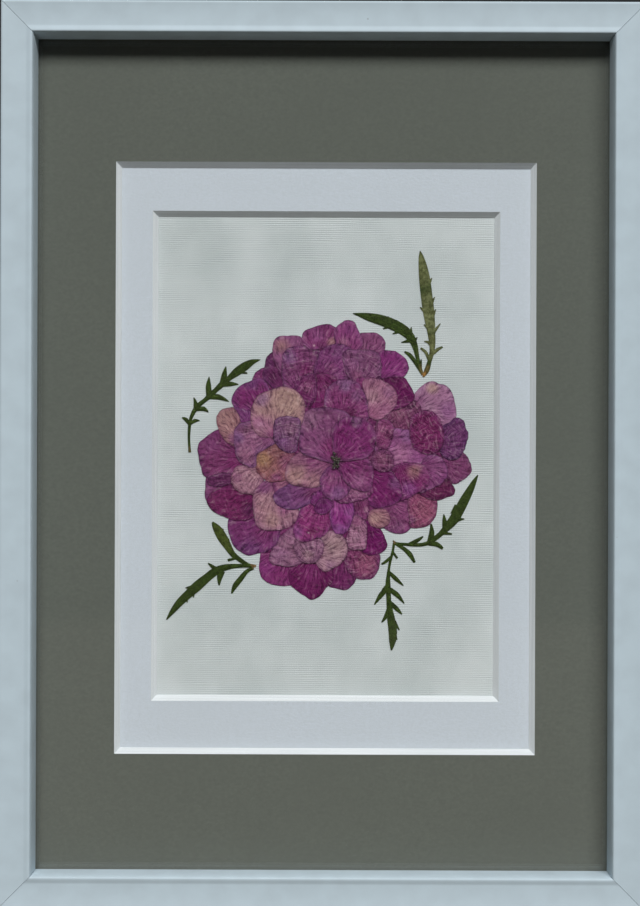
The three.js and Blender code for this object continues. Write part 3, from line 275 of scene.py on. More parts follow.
def dried_sepal(settings):
    """A hydrangea sepal dried in a press: papery, almost matt, veined, with fine creases."""
    material, tree, place = new_material("Dried hydrangea sepal")
    tint = add(tree, "ShaderNodeAttribute", attribute_name="tint").outputs["Color"]
    grain = add(tree, "ShaderNodeAttribute", attribute_name="grain").outputs["Color"]
    parts = add(tree, "ShaderNodeSeparateColor", {0: grain})
    vein_share, crinkle_share = parts.outputs[0], parts.outputs[1]
    # The UV map is a fan about the claw: u is the angle in radians and v the distance in cm.
    axes = add(tree, "ShaderNodeUVMap", uv_map="veins").outputs["UV"]
    axes = add(tree, "ShaderNodeSeparateXYZ", {0: axes})
    drift = noise_of(tree, place, (0.28, 0.28, 0.28), 3.0)
    sway = math_of(tree, "MULTIPLY", math_of(tree, "SUBTRACT", drift, 0.5), 0.25)
    angle = math_of(tree, "ADD", axes.outputs["X"], sway)
    along = math_of(tree, "ADD", axes.outputs["Y"], sway)
    fan = {0: math_of(tree, "MULTIPLY", angle, MM), 1: math_of(tree, "MULTIPLY", along, MM)}
    fan = add(tree, "ShaderNodeCombineXYZ", fan).outputs[0]
    # Main veins 8 degrees apart, with fainter ones between them.
    lines = []
    for per_radian, width in ((7.0, 0.1), (17.0, 0.2)):
        saw = math_of(tree, "PINGPONG", math_of(tree, "MULTIPLY", angle, per_radian), 0.5)
        lines.append(levels(tree, saw, 0.0, width, 1.0, 0.0))
    veins = math_of(tree, "MAXIMUM", lines[0], math_of(tree, "MULTIPLY", lines[1], 0.6))
    broken = levels(tree, noise_of(tree, place, (0.7, 0.7, 0.7), 3.0), 0.38, 0.62)
    veins = math_of(tree, "MULTIPLY", math_of(tree, "MULTIPLY", veins, broken), vein_share)
    # Pleats run along the veins and creases cross them, both about 0.6 mm apart.
    pleats = noise_of(tree, fan, (11, 2, 1), 3.0, 0.65)
    cross = noise_of(tree, fan, (2.6, 12, 1), 3.0, 0.65)
    cells = {"Vector": stretched(tree, place, (1.2, 1.2, 1.2)), "Scale": 1.0}
    net = add(tree, "ShaderNodeTexVoronoi", cells, feature="DISTANCE_TO_EDGE")
    net = levels(tree, net.outputs["Distance"], 0.0, 0.25)
    mottle = noise_of(tree, place, (0.8, 0.8, 0.8), 4.0, 0.65)
    dark = blend(tree, 1.0, tint, rgba("#7f6484"), "MULTIPLY")
    # A paler tint for the painted highlights on crests.
    crest_highlight = blend(tree, 0.3, tint, rgba("#f0dce0"))
    colour = blend(tree, levels(tree, mottle, 0.35, 0.65, 0.0, 0.3), tint, dark)
    # Pleat hollows are darkened as painted shade and pleat crests lightened as painted highlights.
    colour = blend(tree, levels(tree, pleats, 0.5, 0.36, 0.0, 0.85), colour, dark)
    colour = blend(tree, levels(tree, pleats, 0.56, 0.7, 0.0, 0.65), colour, crest_highlight)
    # Crease crests get painted highlights and crease hollows painted shade.
    fold_highlight = math_of(tree, "MULTIPLY", levels(tree, cross, 0.54, 0.66), crinkle_share)
    colour = blend(tree, math_of(tree, "MULTIPLY", fold_highlight, 0.55), colour, crest_highlight)
    sunk_shade = math_of(tree, "MULTIPLY", levels(tree, cross, 0.46, 0.34), crinkle_share)
    colour = blend(tree, math_of(tree, "MULTIPLY", sunk_shade, 0.7), colour, dark)
    depth = math_of(tree, "MULTIPLY", veins, settings.vein_strength)
    colour = blend(tree, depth, colour, dark)
    relief = bump(tree, mottle, 0.08, 0.4, bump(tree, pleats, 0.24, 0.8))
    folds = math_of(tree, "MULTIPLY", cross, crinkle_share)
    relief = bump(tree, folds, 0.55, 0.9, relief)
    rough = math_of(tree, "MULTIPLY", net, crinkle_share)
    relief = bump(tree, rough, 0.06, 0.6, relief)
    inputs = {"Base Color": colour, "Roughness": 0.55, "Normal": relief}
    inputs["Specular IOR Level"] = 0.12
    finish(tree, add(tree, "ShaderNodeBsdfPrincipled", inputs).outputs[0])
    return material


def dried_leaf():
    """A leaf dried in a press: dark olive, matt, with a fine netted grain."""
    material, tree, place = new_material("Dried olive leaf")
    tint = add(tree, "ShaderNodeAttribute", attribute_name="tint").outputs["Color"]
    net = {"Vector": stretched(tree, place, (1.3, 1.3, 1.3)), "Scale": 1.0}
    cells = add(tree, "ShaderNodeTexVoronoi", net, feature="DISTANCE_TO_EDGE")
    vein = levels(tree, cells.outputs["Distance"], 0.0, 0.14, 1.0, 0.0)
    mottle = noise_of(tree, place, (0.9, 0.9, 0.9), 4.0, 0.7)
    dark = blend(tree, 1.0, tint, rgba("#8a8a70"), "MULTIPLY")
    colour = blend(tree, levels(tree, mottle, 0.38, 0.62, 0.0, 0.9), tint, dark)
    colour = blend(tree, math_of(tree, "MULTIPLY", vein, 0.2), colour, rgba("#737c42"))
    relief = bump(tree, mottle, 0.25, 0.7, bump(tree, vein, 0.05, 0.5))
    inputs = {"Base Color": colour, "Roughness": 0.6, "Normal": relief}
    inputs["Specular IOR Level"] = 0.1
    finish(tree, add(tree, "ShaderNodeBsdfPrincipled", inputs).outputs[0])
    return material


def dried_stamens():
    """Dried stamens and anthers: green-black and matt, with greyish pollen here and there."""
    material, tree, place = new_material("Dried stamens")
    speckle = noise_of(tree, place, (2, 2, 2), 2.0)
    tint = blend(tree, levels(tree, speckle, 0.4, 0.6), rgba("#1e1819"), rgba("#4a4630"))
    tint = blend(tree, levels(tree, speckle, 0.6, 0.7), tint, rgba("#8d8494"))
    inputs = {"Base Color": tint, "Roughness": 0.7}
    finish(tree, add(tree, "ShaderNodeBsdfPrincipled", inputs).outputs[0])
    return material


def floor_paint():
    """Matt studio floor, even and pale, that thins out to nothing far from the frame."""
    material, tree, place = new_material("Pale studio floor")
    mottle = noise_of(tree, place, (0.01, 0.01, 0.01), 2.0)
    colour = blend(tree, levels(tree, mottle, 0.3, 0.7), rgba("#d9cdb9"), rgba("#d2c6b3"))
    paint = add(tree, "ShaderNodeBsdfPrincipled", {"Base Color": colour, "Roughness": 0.8})
    clear = add(tree, "ShaderNodeBsdfTransparent").outputs[0]
    far = add(tree, "ShaderNodeVectorMath", {0: place}, operation="LENGTH").outputs["Value"]
    # Little of its bounce reaches the frame and the glass mirrors little of it, so that the
    # lip keeps a deep shadow and the mount an even tone.
    rays = add(tree, "ShaderNodeLightPath").outputs
    bounce = math_of(tree, "MAXIMUM", rays["Is Diffuse Ray"], rays["Is Glossy Ray"])
    bounce = math_of(tree, "MULTIPLY", bounce, 0.8)
    gone = math_of(tree, "MAXIMUM", levels(tree, far, 0.36, 0.85), bounce)
    share = {0: gone, 1: paint.outputs[0], 2: clear}
    finish(tree, add(tree, "ShaderNodeMixShader", share).outputs[0])
    return material


# ------------------------------------------------------------------ meshes


def piece(name, points, faces, material, replaced=()):
    """A mesh in the row frame, in metres, that rides on the root body."""
    mesh = bpy.data.meshes.new(name)
    mesh.from_pydata([tuple(p) for p in points], [], faces)
    mesh.validate()
    mesh.materials.append(material)
    made = bpy.data.objects.new(name, mesh)
    bpy.context.scene.collection.objects.link(made)
    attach(made, "root")
    if replaced:
        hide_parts(*replaced)
    return made


def merge(verts, faces, part, skin):
    """Adds a part's points and faces to those of a mesh so far."""
    start = len(verts)
    verts += part
    faces += [tuple(i + start for i in face) for face in skin]


def smooth(made, degrees):
    """Smooth shading, broken at edges sharper than that."""
    made.data.shade_smooth()
    made.data.set_sharp_from_angle(angle=math.radians(degrees))


def repaint(node, material):
    """Gives a CAD node a finish in the slots that it has."""
    mesh = frame["nodes"][node].data
    if not mesh.materials:
        mesh.materials.append(material)
    for number in range(len(mesh.materials)):
        mesh.materials[number] = material


def to_row(x, z, y):
    """Picture millimetres and a depth in metres as a point of the row frame."""
    return (MIDDLE.x + x * MM, y, MIDDLE.z + z * MM)


# ------------------------------------------------------------------ random but repeatable


def lattice(ix, iz, seed):
    """A repeatable number from 0 to 1 for each whole-numbered point."""
    key = (ix * 374761393 + iz * 668265263 + seed * 974634777) & 0xFFFFFFFF
    key = ((key ^ (key >> 13)) * 1274126177) & 0xFFFFFFFF
    return ((key ^ (key >> 16)) & 0xFFFF) / 65535


def wander(x, z, seed):
    """Smooth noise from -1 to 1 with features one unit across."""
    x, z = np.asarray(x, float), np.asarray(z, float)
    ix, iz = np.floor(x).astype(np.int64), np.floor(z).astype(np.int64)
    fx, fz = x - ix, z - iz
    fx, fz = fx * fx * (3 - 2 * fx), fz * fz * (3 - 2 * fz)
    low = lattice(ix, iz, seed) * (1 - fx) + lattice(ix + 1, iz, seed) * fx
    high = lattice(ix, iz + 1, seed) * (1 - fx) + lattice(ix + 1, iz + 1, seed) * fx
    return 2 * (low * (1 - fz) + high * fz) - 1


def wander_fine(x, z, seed):
    """The same with two finer layers on it."""
    total = wander(x, z, seed) + 0.5 * wander(2.1 * x, 2.1 * z, seed + 7)
    return (total + 0.25 * wander(4.3 * x, 4.3 * z, seed + 13)) / 1.75


def ramp(value, low, high):
    """Rises smoothly from 0 at low to 1 at high."""
    t = np.clip((value - low) / (high - low), 0, 1)
    return t * t * (3 - 2 * t)


# ------------------------------------------------------------------ outlines


def curve_through(points, per_span, closed=True):
    """A smooth run through the points, with that many steps between one and the next."""
    points = np.asarray(points, float)
    count = len(points)
    spans = count if closed else count - 1
    out = []
    for i in range(spans):
        if closed:
            p0, p1, p2, p3 = (points[(i + k) % count] for k in (-1, 0, 1, 2))
        else:
            p0, p1, p2, p3 = (points[min(max(i + k, 0), count - 1)] for k in (-1, 0, 1, 2))
        for step in range(per_span):
            t = step / per_span
            a = 2 * p1 + (p2 - p0) * t + (2 * p0 - 5 * p1 + 4 * p2 - p3) * t * t
            out.append(0.5 * (a + (3 * p1 - p0 - 3 * p2 + p3) * t**3))
    if not closed:
        out.append(points[-1])
    return np.array(out)


def inside(x, z, outline):
    """Which of the points lie within the closed outline."""
    result = np.zeros(np.shape(x), bool)
    for (ax, az), (bx, bz) in zip(outline, np.roll(outline, -1, 0)):
        crosses = (az > z) != (bz > z)
        if az != bz:
            result ^= crosses & (x < (bx - ax) * (z - az) / (bz - az) + ax)
    return result


def edge_distance(x, z, outline):
    """The distance from each point to the outline, in mm."""
    best = np.full(np.shape(x), 1e9)
    for (ax, az), (bx, bz) in zip(outline, np.roll(outline, -1, 0)):
        dx, dz = bx - ax, bz - az
        t = np.clip(((x - ax) * dx + (z - az) * dz) / max(dx * dx + dz * dz, 1e-9), 0, 1)
        best = np.minimum(best, np.hypot(x - ax - t * dx, z - az - t * dz))
    return best


def node_outline(node):
    """The outlines of a flat CAD node's front, in picture millimetres."""
    mesh = frame["nodes"][node].data
    front = min(v.co.y for v in mesh.vertices)
    keys = {}
    for v in mesh.vertices:
        if v.co.y < front + 0.00002:
            keys[v.index] = (round((v.co.x - MIDDLE.x) / MM, 3), round((v.co.z - MIDDLE.z) / MM, 3))
    uses = {}
    for polygon in mesh.polygons:
        corners = [keys.get(i) for i in polygon.vertices]
        if None in corners:
            continue
        for a, b in zip(corners, corners[1:] + corners[:1]):
            uses[(a, b)] = uses.get((a, b), 0) + 1
    follow = {a: b for (a, b) in uses if (b, a) not in uses}
    loops = []
    while follow:
        start, point = next(iter(follow.items()))
        loop = [start]
        del follow[start]
        while point != start and point in follow:
            loop.append(point)
            point = follow.pop(point)
        loops.append(np.array(loop))
    return sorted(loops, key=len, reverse=True)


# ------------------------------------------------------------------ the pile on the card


def evened(grid, passes):
    """A grid with each cell drawn towards its four neighbours, that many times."""
    for _ in range(passes):
        edge = np.pad(grid, 1, mode="edge")
        beside = edge[:-2, 1:-1], edge[2:, 1:-1], edge[1:-1, :-2], edge[1:-1, 2:]
        grid = sum(beside, 2 * grid) / 6
    return grid


class Pile:
    """How high everything laid so far stands above the card, in mm, on a square grid."""

    CELL = 0.2
    REACH = 80  # from the middle to each side

    def __init__(self):
        count = round(2 * self.REACH / self.CELL) + 1
        self.height = np.zeros((count, count))

    def window(self, outline, margin=1.0):
        """The cells round an outline, and their places."""
        low = np.floor((outline.min(0) - margin + self.REACH) / self.CELL).astype(int)
        high = np.ceil((outline.max(0) + margin + self.REACH) / self.CELL).astype(int)
        cells = (slice(low[1], high[1]), slice(low[0], high[0]))
        xs = np.arange(low[0], high[0]) * self.CELL - self.REACH
        zs = np.arange(low[1], high[1]) * self.CELL - self.REACH
        return cells, *np.meshgrid(xs, zs)

    def levelled(self):
        """The heights evened out over about 0.8 mm."""
        return evened(self.height, 30)

    def softened(self, cells, within):
        """What lies below, as a sheet laid over it would bridge its steps."""
        below = np.where(within, self.height[cells], 0)
        spread = below.copy()
        for _ in range(2):
            padded = np.pad(spread, 1, mode="edge")
            moved = [padded[1 + i : padded.shape[0] - 1 + i, 1:-1] for i in (-1, 0, 1)]
            moved += [padded[1:-1, 1 + i : padded.shape[1] - 1 + i] for i in (-1, 1)]
            spread = np.maximum.reduce(moved)
        return np.maximum(evened(spread, 4), below)


def sample(grid, xs, zs, x, z):
    """The grid's value at each place, between its cells."""
    fx, fz = (x - xs[0]) / Pile.CELL, (z - zs[0]) / Pile.CELL
    ix = np.clip(fx.astype(int), 0, len(xs) - 2)
    iz = np.clip(fz.astype(int), 0, len(zs) - 2)
    fx, fz = fx - ix, fz - iz
    low = grid[iz, ix] * (1 - fx) + grid[iz, ix + 1] * fx
    high = grid[iz + 1, ix] * (1 - fx) + grid[iz + 1, ix + 1] * fx
    return low * (1 - fz) + high * fz


def fill(outline, spacing, seed):
    """Triangles across an outline: its points first, then a close field of points inside."""
    low, high = outline.min(0), outline.max(0)
    rows = np.arange(low[1], high[1], spacing * 0.87)
    x, z = [], []
    for number, row in enumerate(rows):
        line = np.arange(low[0] + (number % 2) * spacing / 2, high[0], spacing)
        x.append(line)
        z.append(np.full(len(line), row))
    x, z = np.concatenate(x), np.concatenate(z)
    x = x + 0.2 * spacing * wander(x * 9.7, z * 9.7, seed)
    z = z + 0.2 * spacing * wander(x * 8.3, z * 8.3, seed + 1)
    keep = inside(x, z, outline)
    x, z = x[keep], z[keep]
    keep = edge_distance(x, z, outline) > spacing * 0.45
    points = np.vstack([outline, np.column_stack([x[keep], z[keep]])])
    ring = list(range(len(outline)))
    border = list(zip(ring, ring[1:] + ring[:1]))
    found = delaunay_2d_cdt([Vector(p) for p in points], border, [ring], 1, 1e-5)
    return np.array([tuple(v) for v in found[0]]), [tuple(f) for f in found[2]]


def sheet_solid(points, faces, top, thickness):
    """A closed skin: the front, the back a thickness behind it, and the edge between."""
    count = len(points)
    verts = []
    for depth in (top, top - thickness):
        verts += [to_row(x, z, CARD_Y - h * MM) for (x, z), h in zip(points, depth)]
    solid, uses = [], set()
    for a, b, c in faces:
        (ax, az), (bx, bz), (cx, cz) = points[a], points[b], points[c]
        if (bx - ax) * (cz - az) - (bz - az) * (cx - ax) < 0:
            b, c = c, b
        solid.append((a, b, c))
        solid.append((a + count, c + count, b + count))
        uses.update(((a, b), (b, c), (c, a)))
    for a, b in uses:
        if (b, a) not in uses:
            solid.append((b, a, a + count, b + count))
    return verts, solid


def store(mesh, name, values):
    """Keeps two or three numbers for each point, for the finish to read as a colour."""
    layer = mesh.attributes.new(name, "FLOAT_COLOR", "POINT")
    flat = np.ones((len(values), 4), np.float32)
    flat[:, : values.shape[1]] = values
    layer.data.foreach_set("color", flat.ravel())


def store_fan(mesh, fan):
    """Keeps the UV map that veins and creases follow."""
    layer = mesh.uv_layers.new(name="veins")
    corners = np.empty(len(mesh.loops), np.int64)
    mesh.loops.foreach_get("vertex_index", corners)
    layer.data.foreach_set("uv", fan[corners].astype(np.float32).ravel())


# ------------------------------------------------------------------ what lies on the card

HEART = np.array([4.3, -2.0])

# The deep stain round the eye that the five sepals of the middle floret share.
EYE = (4.5, -1.5, 3.4, "#3e1436")

OUTLINE_POINTS = 96  # about as many round each sepal

# One row for each sepal, in the order they are laid. Sepals with one piece name grew together.
# A row is: piece, outline, claw, "face heart rim", crinkle, veining, patches. Without an outline
# it is the CAD node's own. The claw is where the veins start, by default the side towards the
# heart of the flower. A patch is x, z, radius and colour.
SEPALS = (
    ("petal_far_left", None, None, "#7d4b73 #6b3563 #4e3a5e", 0.25, 0.6, ()),
    ("petal_left_purple", None, (-27, -1), "#73365f #6b2258 #463356", 0.25, 0.95,
     ((-40, 4, 5, "#6e4068"), (-31, -3, 4, "#7a2a5c"))),
    ("petal_left_magenta", None, None, "#752a62 #7c2560 #5a4a78", 0.25, 0.6,
     ((-25, 25.5, 3, "#5d4070"), (-27, 14, 3, "#6a3a70"))),
    ("violet_behind", ((-31.3, 16.8), (-28.2, 16.2), (-25, 15), (-24, 12.4), (-26, 9), (-29.6, 9.5),
                       (-30.8, 13)), (-24, 8), "#6d3c72 #7a3070 #5a4670", 0.3, 0.6, ()),
    ("petal_left_striped", None, (-28, 5), "#a8846f #96607a #7f5a5e", 0.35, 1.0,
     ((-30.5, 5.5, 3, "#7c4c74"), (-35.5, 13, 3, "#b08f78"))),
    ("petal_upper_left_dark", None, None, "#50224a #6a2458 #3c2a50", 0.3, 0.6,
     ((-19, 33, 2.5, "#4a2c52"),)),
    ("petal_upper_left_tan", None, None, "#84567a #7e3a6c #6b4a6a", 0.2, 0.5,
     ((-14.8, 38.4, 3.4, "#a8846f"),)),
    ("petal_low_left_magenta", None, None, "#7d2c63 #6d1f58 #8a3a78", 0.2, 0.6,
     ((-20, -40, 4, "#8a3478"),)),
    ("petal_bottom_purple", None, None, "#692457 #6d1d52 #59305c", 0.3, 0.6, ()),
    ("petal_bottom_magenta", None, None, "#6b1750 #7c2a60 #5a1a4c", 0.2, 0.6,
     ((-4, -42, 4, "#7e2c64"),)),
    ("petal_low_right_wrinkled", None, None, "#7a3a5c #8a3a60 #5f3c64", 0.9, 0.5,
     ((15, -38, 4, "#9e566a"),)),
    ("petal_low_right_deep", None, None, "#6f1156 #7c1560 #5d1a52", 0.35, 0.6, ()),
    ("floret_pale", ((-16.2, -30.4), (-13.5, -27.5), (-10, -25.5), (-6.5, -27.5), (-3, -31),
                     (-1.5, -35.5), (-3.5, -37.6), (-7, -38), (-10.5, -39.2), (-15, -39),
                     (-18, -38), (-18.4, -35)), (-1, -36), "#967386 #a17f84 #6f5074", 0.6, 0.8,
     ((-15, -35, 4, "#8a6a86"), (-5, -34, 3.5, "#a88a8a"), (-9, -28, 3, "#8f6884"))),
    ("floret_pale", ((-1.5, -29.8), (0.3, -28), (3, -26.6), (6, -27.4), (8.3, -30), (8.9, -33),
                     (8.2, -36), (6, -38.5), (3, -40.3), (0.7, -40.9), (-0.8, -39.8), (-2.6, -37.2),
                     (-3.4, -33)), (-3.5, -36), "#ad9090 #a88c92 #7a5c74", 0.4, 0.9,
     ((5, -32, 4.5, "#b39a92"), (3, -39, 2.5, "#8f7488"))),
    ("floret_pale", ((-9.6, -30), (-6, -28.2), (-1.6, -28.4), (0.6, -31), (0, -35), (-3, -38),
                     (-7, -37.6), (-9.8, -34)), (-3, -40), "#8e6f82 #8a6a80 #745672", 1.0, 0.8,
     ((-5, -35, 2.5, "#a48a8c"),)),
    ("petal_low_left_purple", None, None, "#733569 #7b2c62 #4f3a68", 0.3, 0.6,
     ((-26, -33, 5, "#5c4070"), (-20, -26, 4, "#7f3868"))),
    ("petal_lower_left_magenta", None, None, "#70214f #6e1a4e #5a2350", 0.35, 0.85,
     ((-26, -19.5, 3, "#3f1a3c"), (-35, -16, 4, "#762a56"))),
    ("dusky_left", ((-40.6, -9.6), (-39.2, -7.4), (-35.2, -6.2), (-31.7, -6.8), (-31.5, -9.6),
                    (-35.2, -11), (-38.8, -11.2)), (-29, -8), "#583054 #6a2a58 #463050", 0.4, 0.6,
     ()),
    ("petal_left_beige_pink", None, (-20, -3), "#a57f84 #935f78 #7a5468", 0.6, 0.9,
     ((-24, -7, 3, "#b28c88"), (-30, -8, 2, "#9a6c80"))),
    ("petal_long_beige", None, (-16, -8), "#a97f86 #83466f #7b5a70", 0.45, 0.8,
     ((-21, -11, 3.5, "#84507c"), (-20, -18, 5, "#b38a86"), (-17.5, -22.5, 4, "#a18a74"),
      (-13.5, -19, 3, "#8f4f74"))),
    ("pink_under_centre", ((-17.8, -7.5), (-15, -5.6), (-10.6, -7.7), (-6.2, -9.9), (-2.7, -12),
                           (-6, -14.1), (-13.2, -14.6), (-16.8, -13.1)), (-4, -6),
     "#884c6c #8a4070 #6c3f68", 0.45, 0.7, ((-14, -10, 2.5, "#9c6a76"),)),
    ("petal_left_orange", None, (-8, 2), "#966950 #8f5568 #7a4a52", 0.55, 0.8,
     ((-13, -3, 3.5, "#93566c"), (-21, -2, 3.5, "#b8924e"), (-16, -8, 2.5, "#8b4a68"),
      (-17, 1.5, 2.5, "#8a6650"))),
    ("petal_left_mauve", None, (-16, 8), "#8a607a #8a5078 #5f527c", 0.5, 0.85,
     ((-30, 6, 2.5, "#6a5c86"), (-27, 0, 3, "#98687e"), (-20, 6, 3, "#7f4f74"),
      (-24, 8, 3, "#916a80"))),
    ("petal_upper_left_wrinkled", None, None, "#734169 #6a2e60 #4e3a62", 0.8, 0.7,
     ((-11.8, 34.8, 3, "#6d5a84"), (-6, 30, 3, "#7e2c60"))),
    ("petal_top_rose", None, None, "#7a3664 #7d2a5c #6a4570", 0.25, 0.6,
     ((3.2, 40, 2.0, "#a5816f"), (-3.1, 38.6, 0.5, "#d8b8bc"), (-2, 42.5, 3, "#84487a"))),
    ("petal_upper_right_rose", None, None, "#7d4b6e #7b3563 #6b4a6c", 0.25, 0.6, ()),
    ("petal_top_tall", None, None, "#823c6e #8a3a68 #744a76", 0.25, 0.9,
     ((7, 39.5, 2.2, "#a06a84"), (9, 44, 2.5, "#7c3c74"))),
    ("floret_top", ((-3, 27.6), (-2.4, 33), (-0.6, 37), (4, 39.2), (9, 38.4), (12, 33.5),
                    (9.5, 27.5), (4, 25.5)), (-2.9, 26), "#733c6e #6e2a60 #584068", 0.5, 0.8,
     ((6, 36, 3.5, "#6a4a74"), (3, 31, 2.5, "#864a74"))),
    ("floret_top", ((-3.5, 28.4), (3.5, 28.2), (6, 24.5), (5.5, 18), (1, 15.2), (-4, 16),
                    (-5.5, 22)), (-3, 30), "#6e1e55 #74285a #54234e", 0.4, 0.7,
     ((1, 24, 3, "#7c3464"), (2, 18, 2.5, "#541c44"))),
    ("floret_top", ((-2.6, 28.2), (-6.5, 28.3), (-9.5, 25.5), (-9, 20.5), (-5.5, 17),
                    (-2.5, 20)), (-2.6, 30), "#702a5c #7a3566 #54305a", 0.7, 0.7,
     ((-5, 24, 2.5, "#84506e"),)),
    ("petal_right_pale", None, None, "#a07896 #8a5080 #8a7898", 0.2, 0.7,
     ((38.5, 23.8, 2.6, "#b59c82"), (44.5, 16, 3.5, "#8c6492"), (37, 15, 3.5, "#ac88a2"),
      (33.5, 20, 2.5, "#8f6286"))),
    ("petal_right_brown", None, None, "#6c4058 #6a3a58 #5a3a58", 0.95, 0.5,
     ((27, 15, 3, "#86586a"), (31, 17, 3, "#6c4460"))),
    ("petal_right_deep", None, None, "#640f4b #5a0c44 #5b2350", 0.4, 0.6,
     ((25, 27, 3, "#4a0a3a"),)),
    ("petal_right_magenta", None, None, "#82286e #741c5c #7a4078", 0.2, 0.6,
     ((26, 31, 3, "#8c3478"),)),
    ("petal_upper_mauve", None, None, "#74506f #6f3a66 #5c4668", 0.6, 0.6,
     ((12, 34, 3, "#6c5070"), (12, 28, 2.5, "#8a5674"))),
    ("rose_behind", ((11.4, 26.5), (14.1, 27.6), (18.5, 27.2), (20.9, 25.8), (21.1, 23.8),
                     (17.6, 20.8), (14.5, 19.5), (12.3, 22.8)), (14, 16),
     "#8a3266 #8a2a5e #6f3c68", 0.35, 0.6, ()),
    ("petal_upper_shadowed", None, (6, 12), "#82386a #6c1e54 #66587e", 0.45, 0.75,
     ((8, 24.4, 3, "#74648a"), (10, 15, 3, "#4a1238"), (12, 21, 2.5, "#7a5a80"))),
    ("petal_right_blush", None, (15, 13), "#aa7385 #97506f #8a5f78", 0.35, 0.85,
     ((17.5, 20.5, 3.5, "#b78c92"), (22, 16, 3, "#9d6280"), (23, 22, 2.5, "#9a6a88"))),
    ("petal_far_right_rose", None, None, "#734164 #6f2f5c #5c4060", 0.5, 0.7,
     ((51.6, -5.4, 1.0, "#3a1e28"),)),
    ("petal_far_right_dark", None, None, "#543660 #5a2c58 #33305a", 0.7, 0.5,
     ((47, 8, 3, "#5c3e68"),)),
    ("petal_right_lilac", None, (18, -1), "#93558a #a5608c #6f5484", 0.3, 0.6,
     ((28, 0.5, 4.5, "#b5729a"), (30, 7.0, 3, "#7f6290"), (21, 5, 3, "#84356c"),
      (36, 2, 3, "#7a3a70"))),
    ("rose_strip", ((19.3, 11.5), (21.1, 13.1), (23.7, 12.4), (25.1, 9.7), (24.4, 5.3),
                    (22.9, 2.3), (19.8, 2.5), (18.3, 6.2)), (19, 2), "#8a4068 #7a2c5c #6c4468",
     0.85, 0.4, ((21, 9, 2, "#9c5a78"),)),
    ("petal_right_crinkled", None, None, "#782355 #7a1f52 #5c2c5a", 0.95, 0.6,
     ((37, 9, 3, "#822c5c"),)),
    ("petal_lower_right_mauve", None, None, "#82466e #7c3a68 #63446c", 0.5, 0.7,
     ((27, -25, 3, "#745070"),)),
    ("petal_right_salmon", None, None, "#9b5064 #8a3a5c #7a4a68", 0.9, 0.5,
     ((36, -20, 3.5, "#a85c6a"), (31, -23, 2, "#7c4470"))),
    ("petal_right_dark_tip", None, None, "#5a1e41 #6a1c4c #3c1a3a", 0.5, 0.7, ()),
    ("petal_right_veined", None, (34, -4), "#824678 #8a3c70 #6a4a78", 0.35, 1.0,
     ((41, -4, 3, "#8c5682"), (38, -9, 3, "#78406e"))),
    ("petal_right_yellow_eye", None, (27, -3), "#802a60 #7a2058 #5e3a62", 0.6, 0.8,
     ((32.6, -5.6, 3.2, "#ab7e70"), (30, -11.5, 3.2, "#74407c"), (36, -6, 2, "#8a5078"))),
    ("petal_middle_magenta", None, None, "#731c5a #6a1450 #5e3a68", 0.25, 0.6,
     ((26, -10, 3, "#6e4b78"), (20, -13, 3.5, "#7c1c60"))),
    ("oval_crinkled", ((17.1, -1.7), (18, 0.9), (20.7, 2.3), (23.3, 1.8), (24.9, -0.4),
                       (25.1, -3), (23.7, -5.2), (20.7, -5.8), (18, -4.3)), (16, -2),
     "#7d4b66 #6c3456 #54385a", 0.9, 0.5, ((21, -1, 2, "#8a5a70"),)),
    ("beige_small", ((16.3, -20.2), (18.5, -18.9), (22, -19), (23.7, -21.1), (23.3, -24.2),
                     (20.7, -25.5), (17.6, -25), (16.1, -22.8)), (15, -19),
     "#a27c6e #946a66 #8a5f6c", 0.4, 0.7, ((18.5, -22.5, 2.2, "#c29a84"),)),
    ("crinkled_pink", ((9.7, -22), (12.3, -21.1), (15.1, -22.8), (15.8, -27.2), (15.5, -31.6),
                       (14.5, -33.2), (9.9, -33), (8.4, -29.9), (9.5, -26.4)), (11, -19),
     "#a8768c #965676 #7f5a78", 1.0, 0.4, ((12, -29, 3, "#b08498"), (12, -23.5, 2, "#945878"))),
    ("folded_small", ((10.7, -17.1), (12.3, -16), (15.8, -15.4), (16.6, -18.4), (15.8, -22),
                      (14.1, -22.6), (12.3, -20.6)), (12, -14), "#7c3a62 #5a1c40 #5c3058", 0.5, 0.4,
     ((15.4, -19, 1.2, "#ad7c92"), (12.6, -18, 1.8, "#571a40"))),
    # Its tiny near-white patch at the folded lower rim is a painted glint.
    ("petal_shiny_magenta", None, None, "#912d69 #a03a74 #6a3a6e", 0.6, 0.6,
     ((-8.5, -27, 2.5, "#7a4a82"), (-3.5, -27.4, 2, "#641a46"), (-4.9, -27.3, 0.4, "#e6d0d4"),
      (-4, -20, 3, "#a03a76"))),
    ("petal_violet", None, None, "#923080 #8a2a74 #6a4a84", 0.25, 0.7,
     ((6, -26, 2.6, "#784b8c"), (5, -17.5, 2.5, "#a54a90"), (9.5, -20, 1.8, "#8a4a8c"))),
    ("petal_blue_mauve", None, None, "#6a4674 #7d416e #4e4a74", 0.3, 0.7,
     ((-14, -15, 4, "#5f4b78"), (-3, -13, 3.5, "#7d3f6c"))),
    ("floret_bud", ((-4.2, -17), (-3.6, -14), (-1.6, -12.4), (1, -12.4), (2.2, -14.8),
                    (0.6, -17.6), (-2, -18.4)), (0, -20), "#6e2266 #3e1440 #6a3a70", 0.5, 0.5,
     ((-0.6, -17, 1.4, "#3a1238"), (-1, -13.6, 1.2, "#96408a"))),
    ("floret_bud", ((-3, -19), (-1.2, -20.8), (0.8, -21), (2.8, -19.4), (4, -16.8), (1.6, -15),
                    (-1.6, -16)), (0, -15), "#6e2468 #4a1848 #5c305f", 0.5, 0.5,
     ((0.4, -16.4, 1.2, "#481446"),)),
    ("pink_sliver", ((4.4, -15.4), (6.6, -14), (9.6, -11), (13.2, -10.1), (17.1, -10.6),
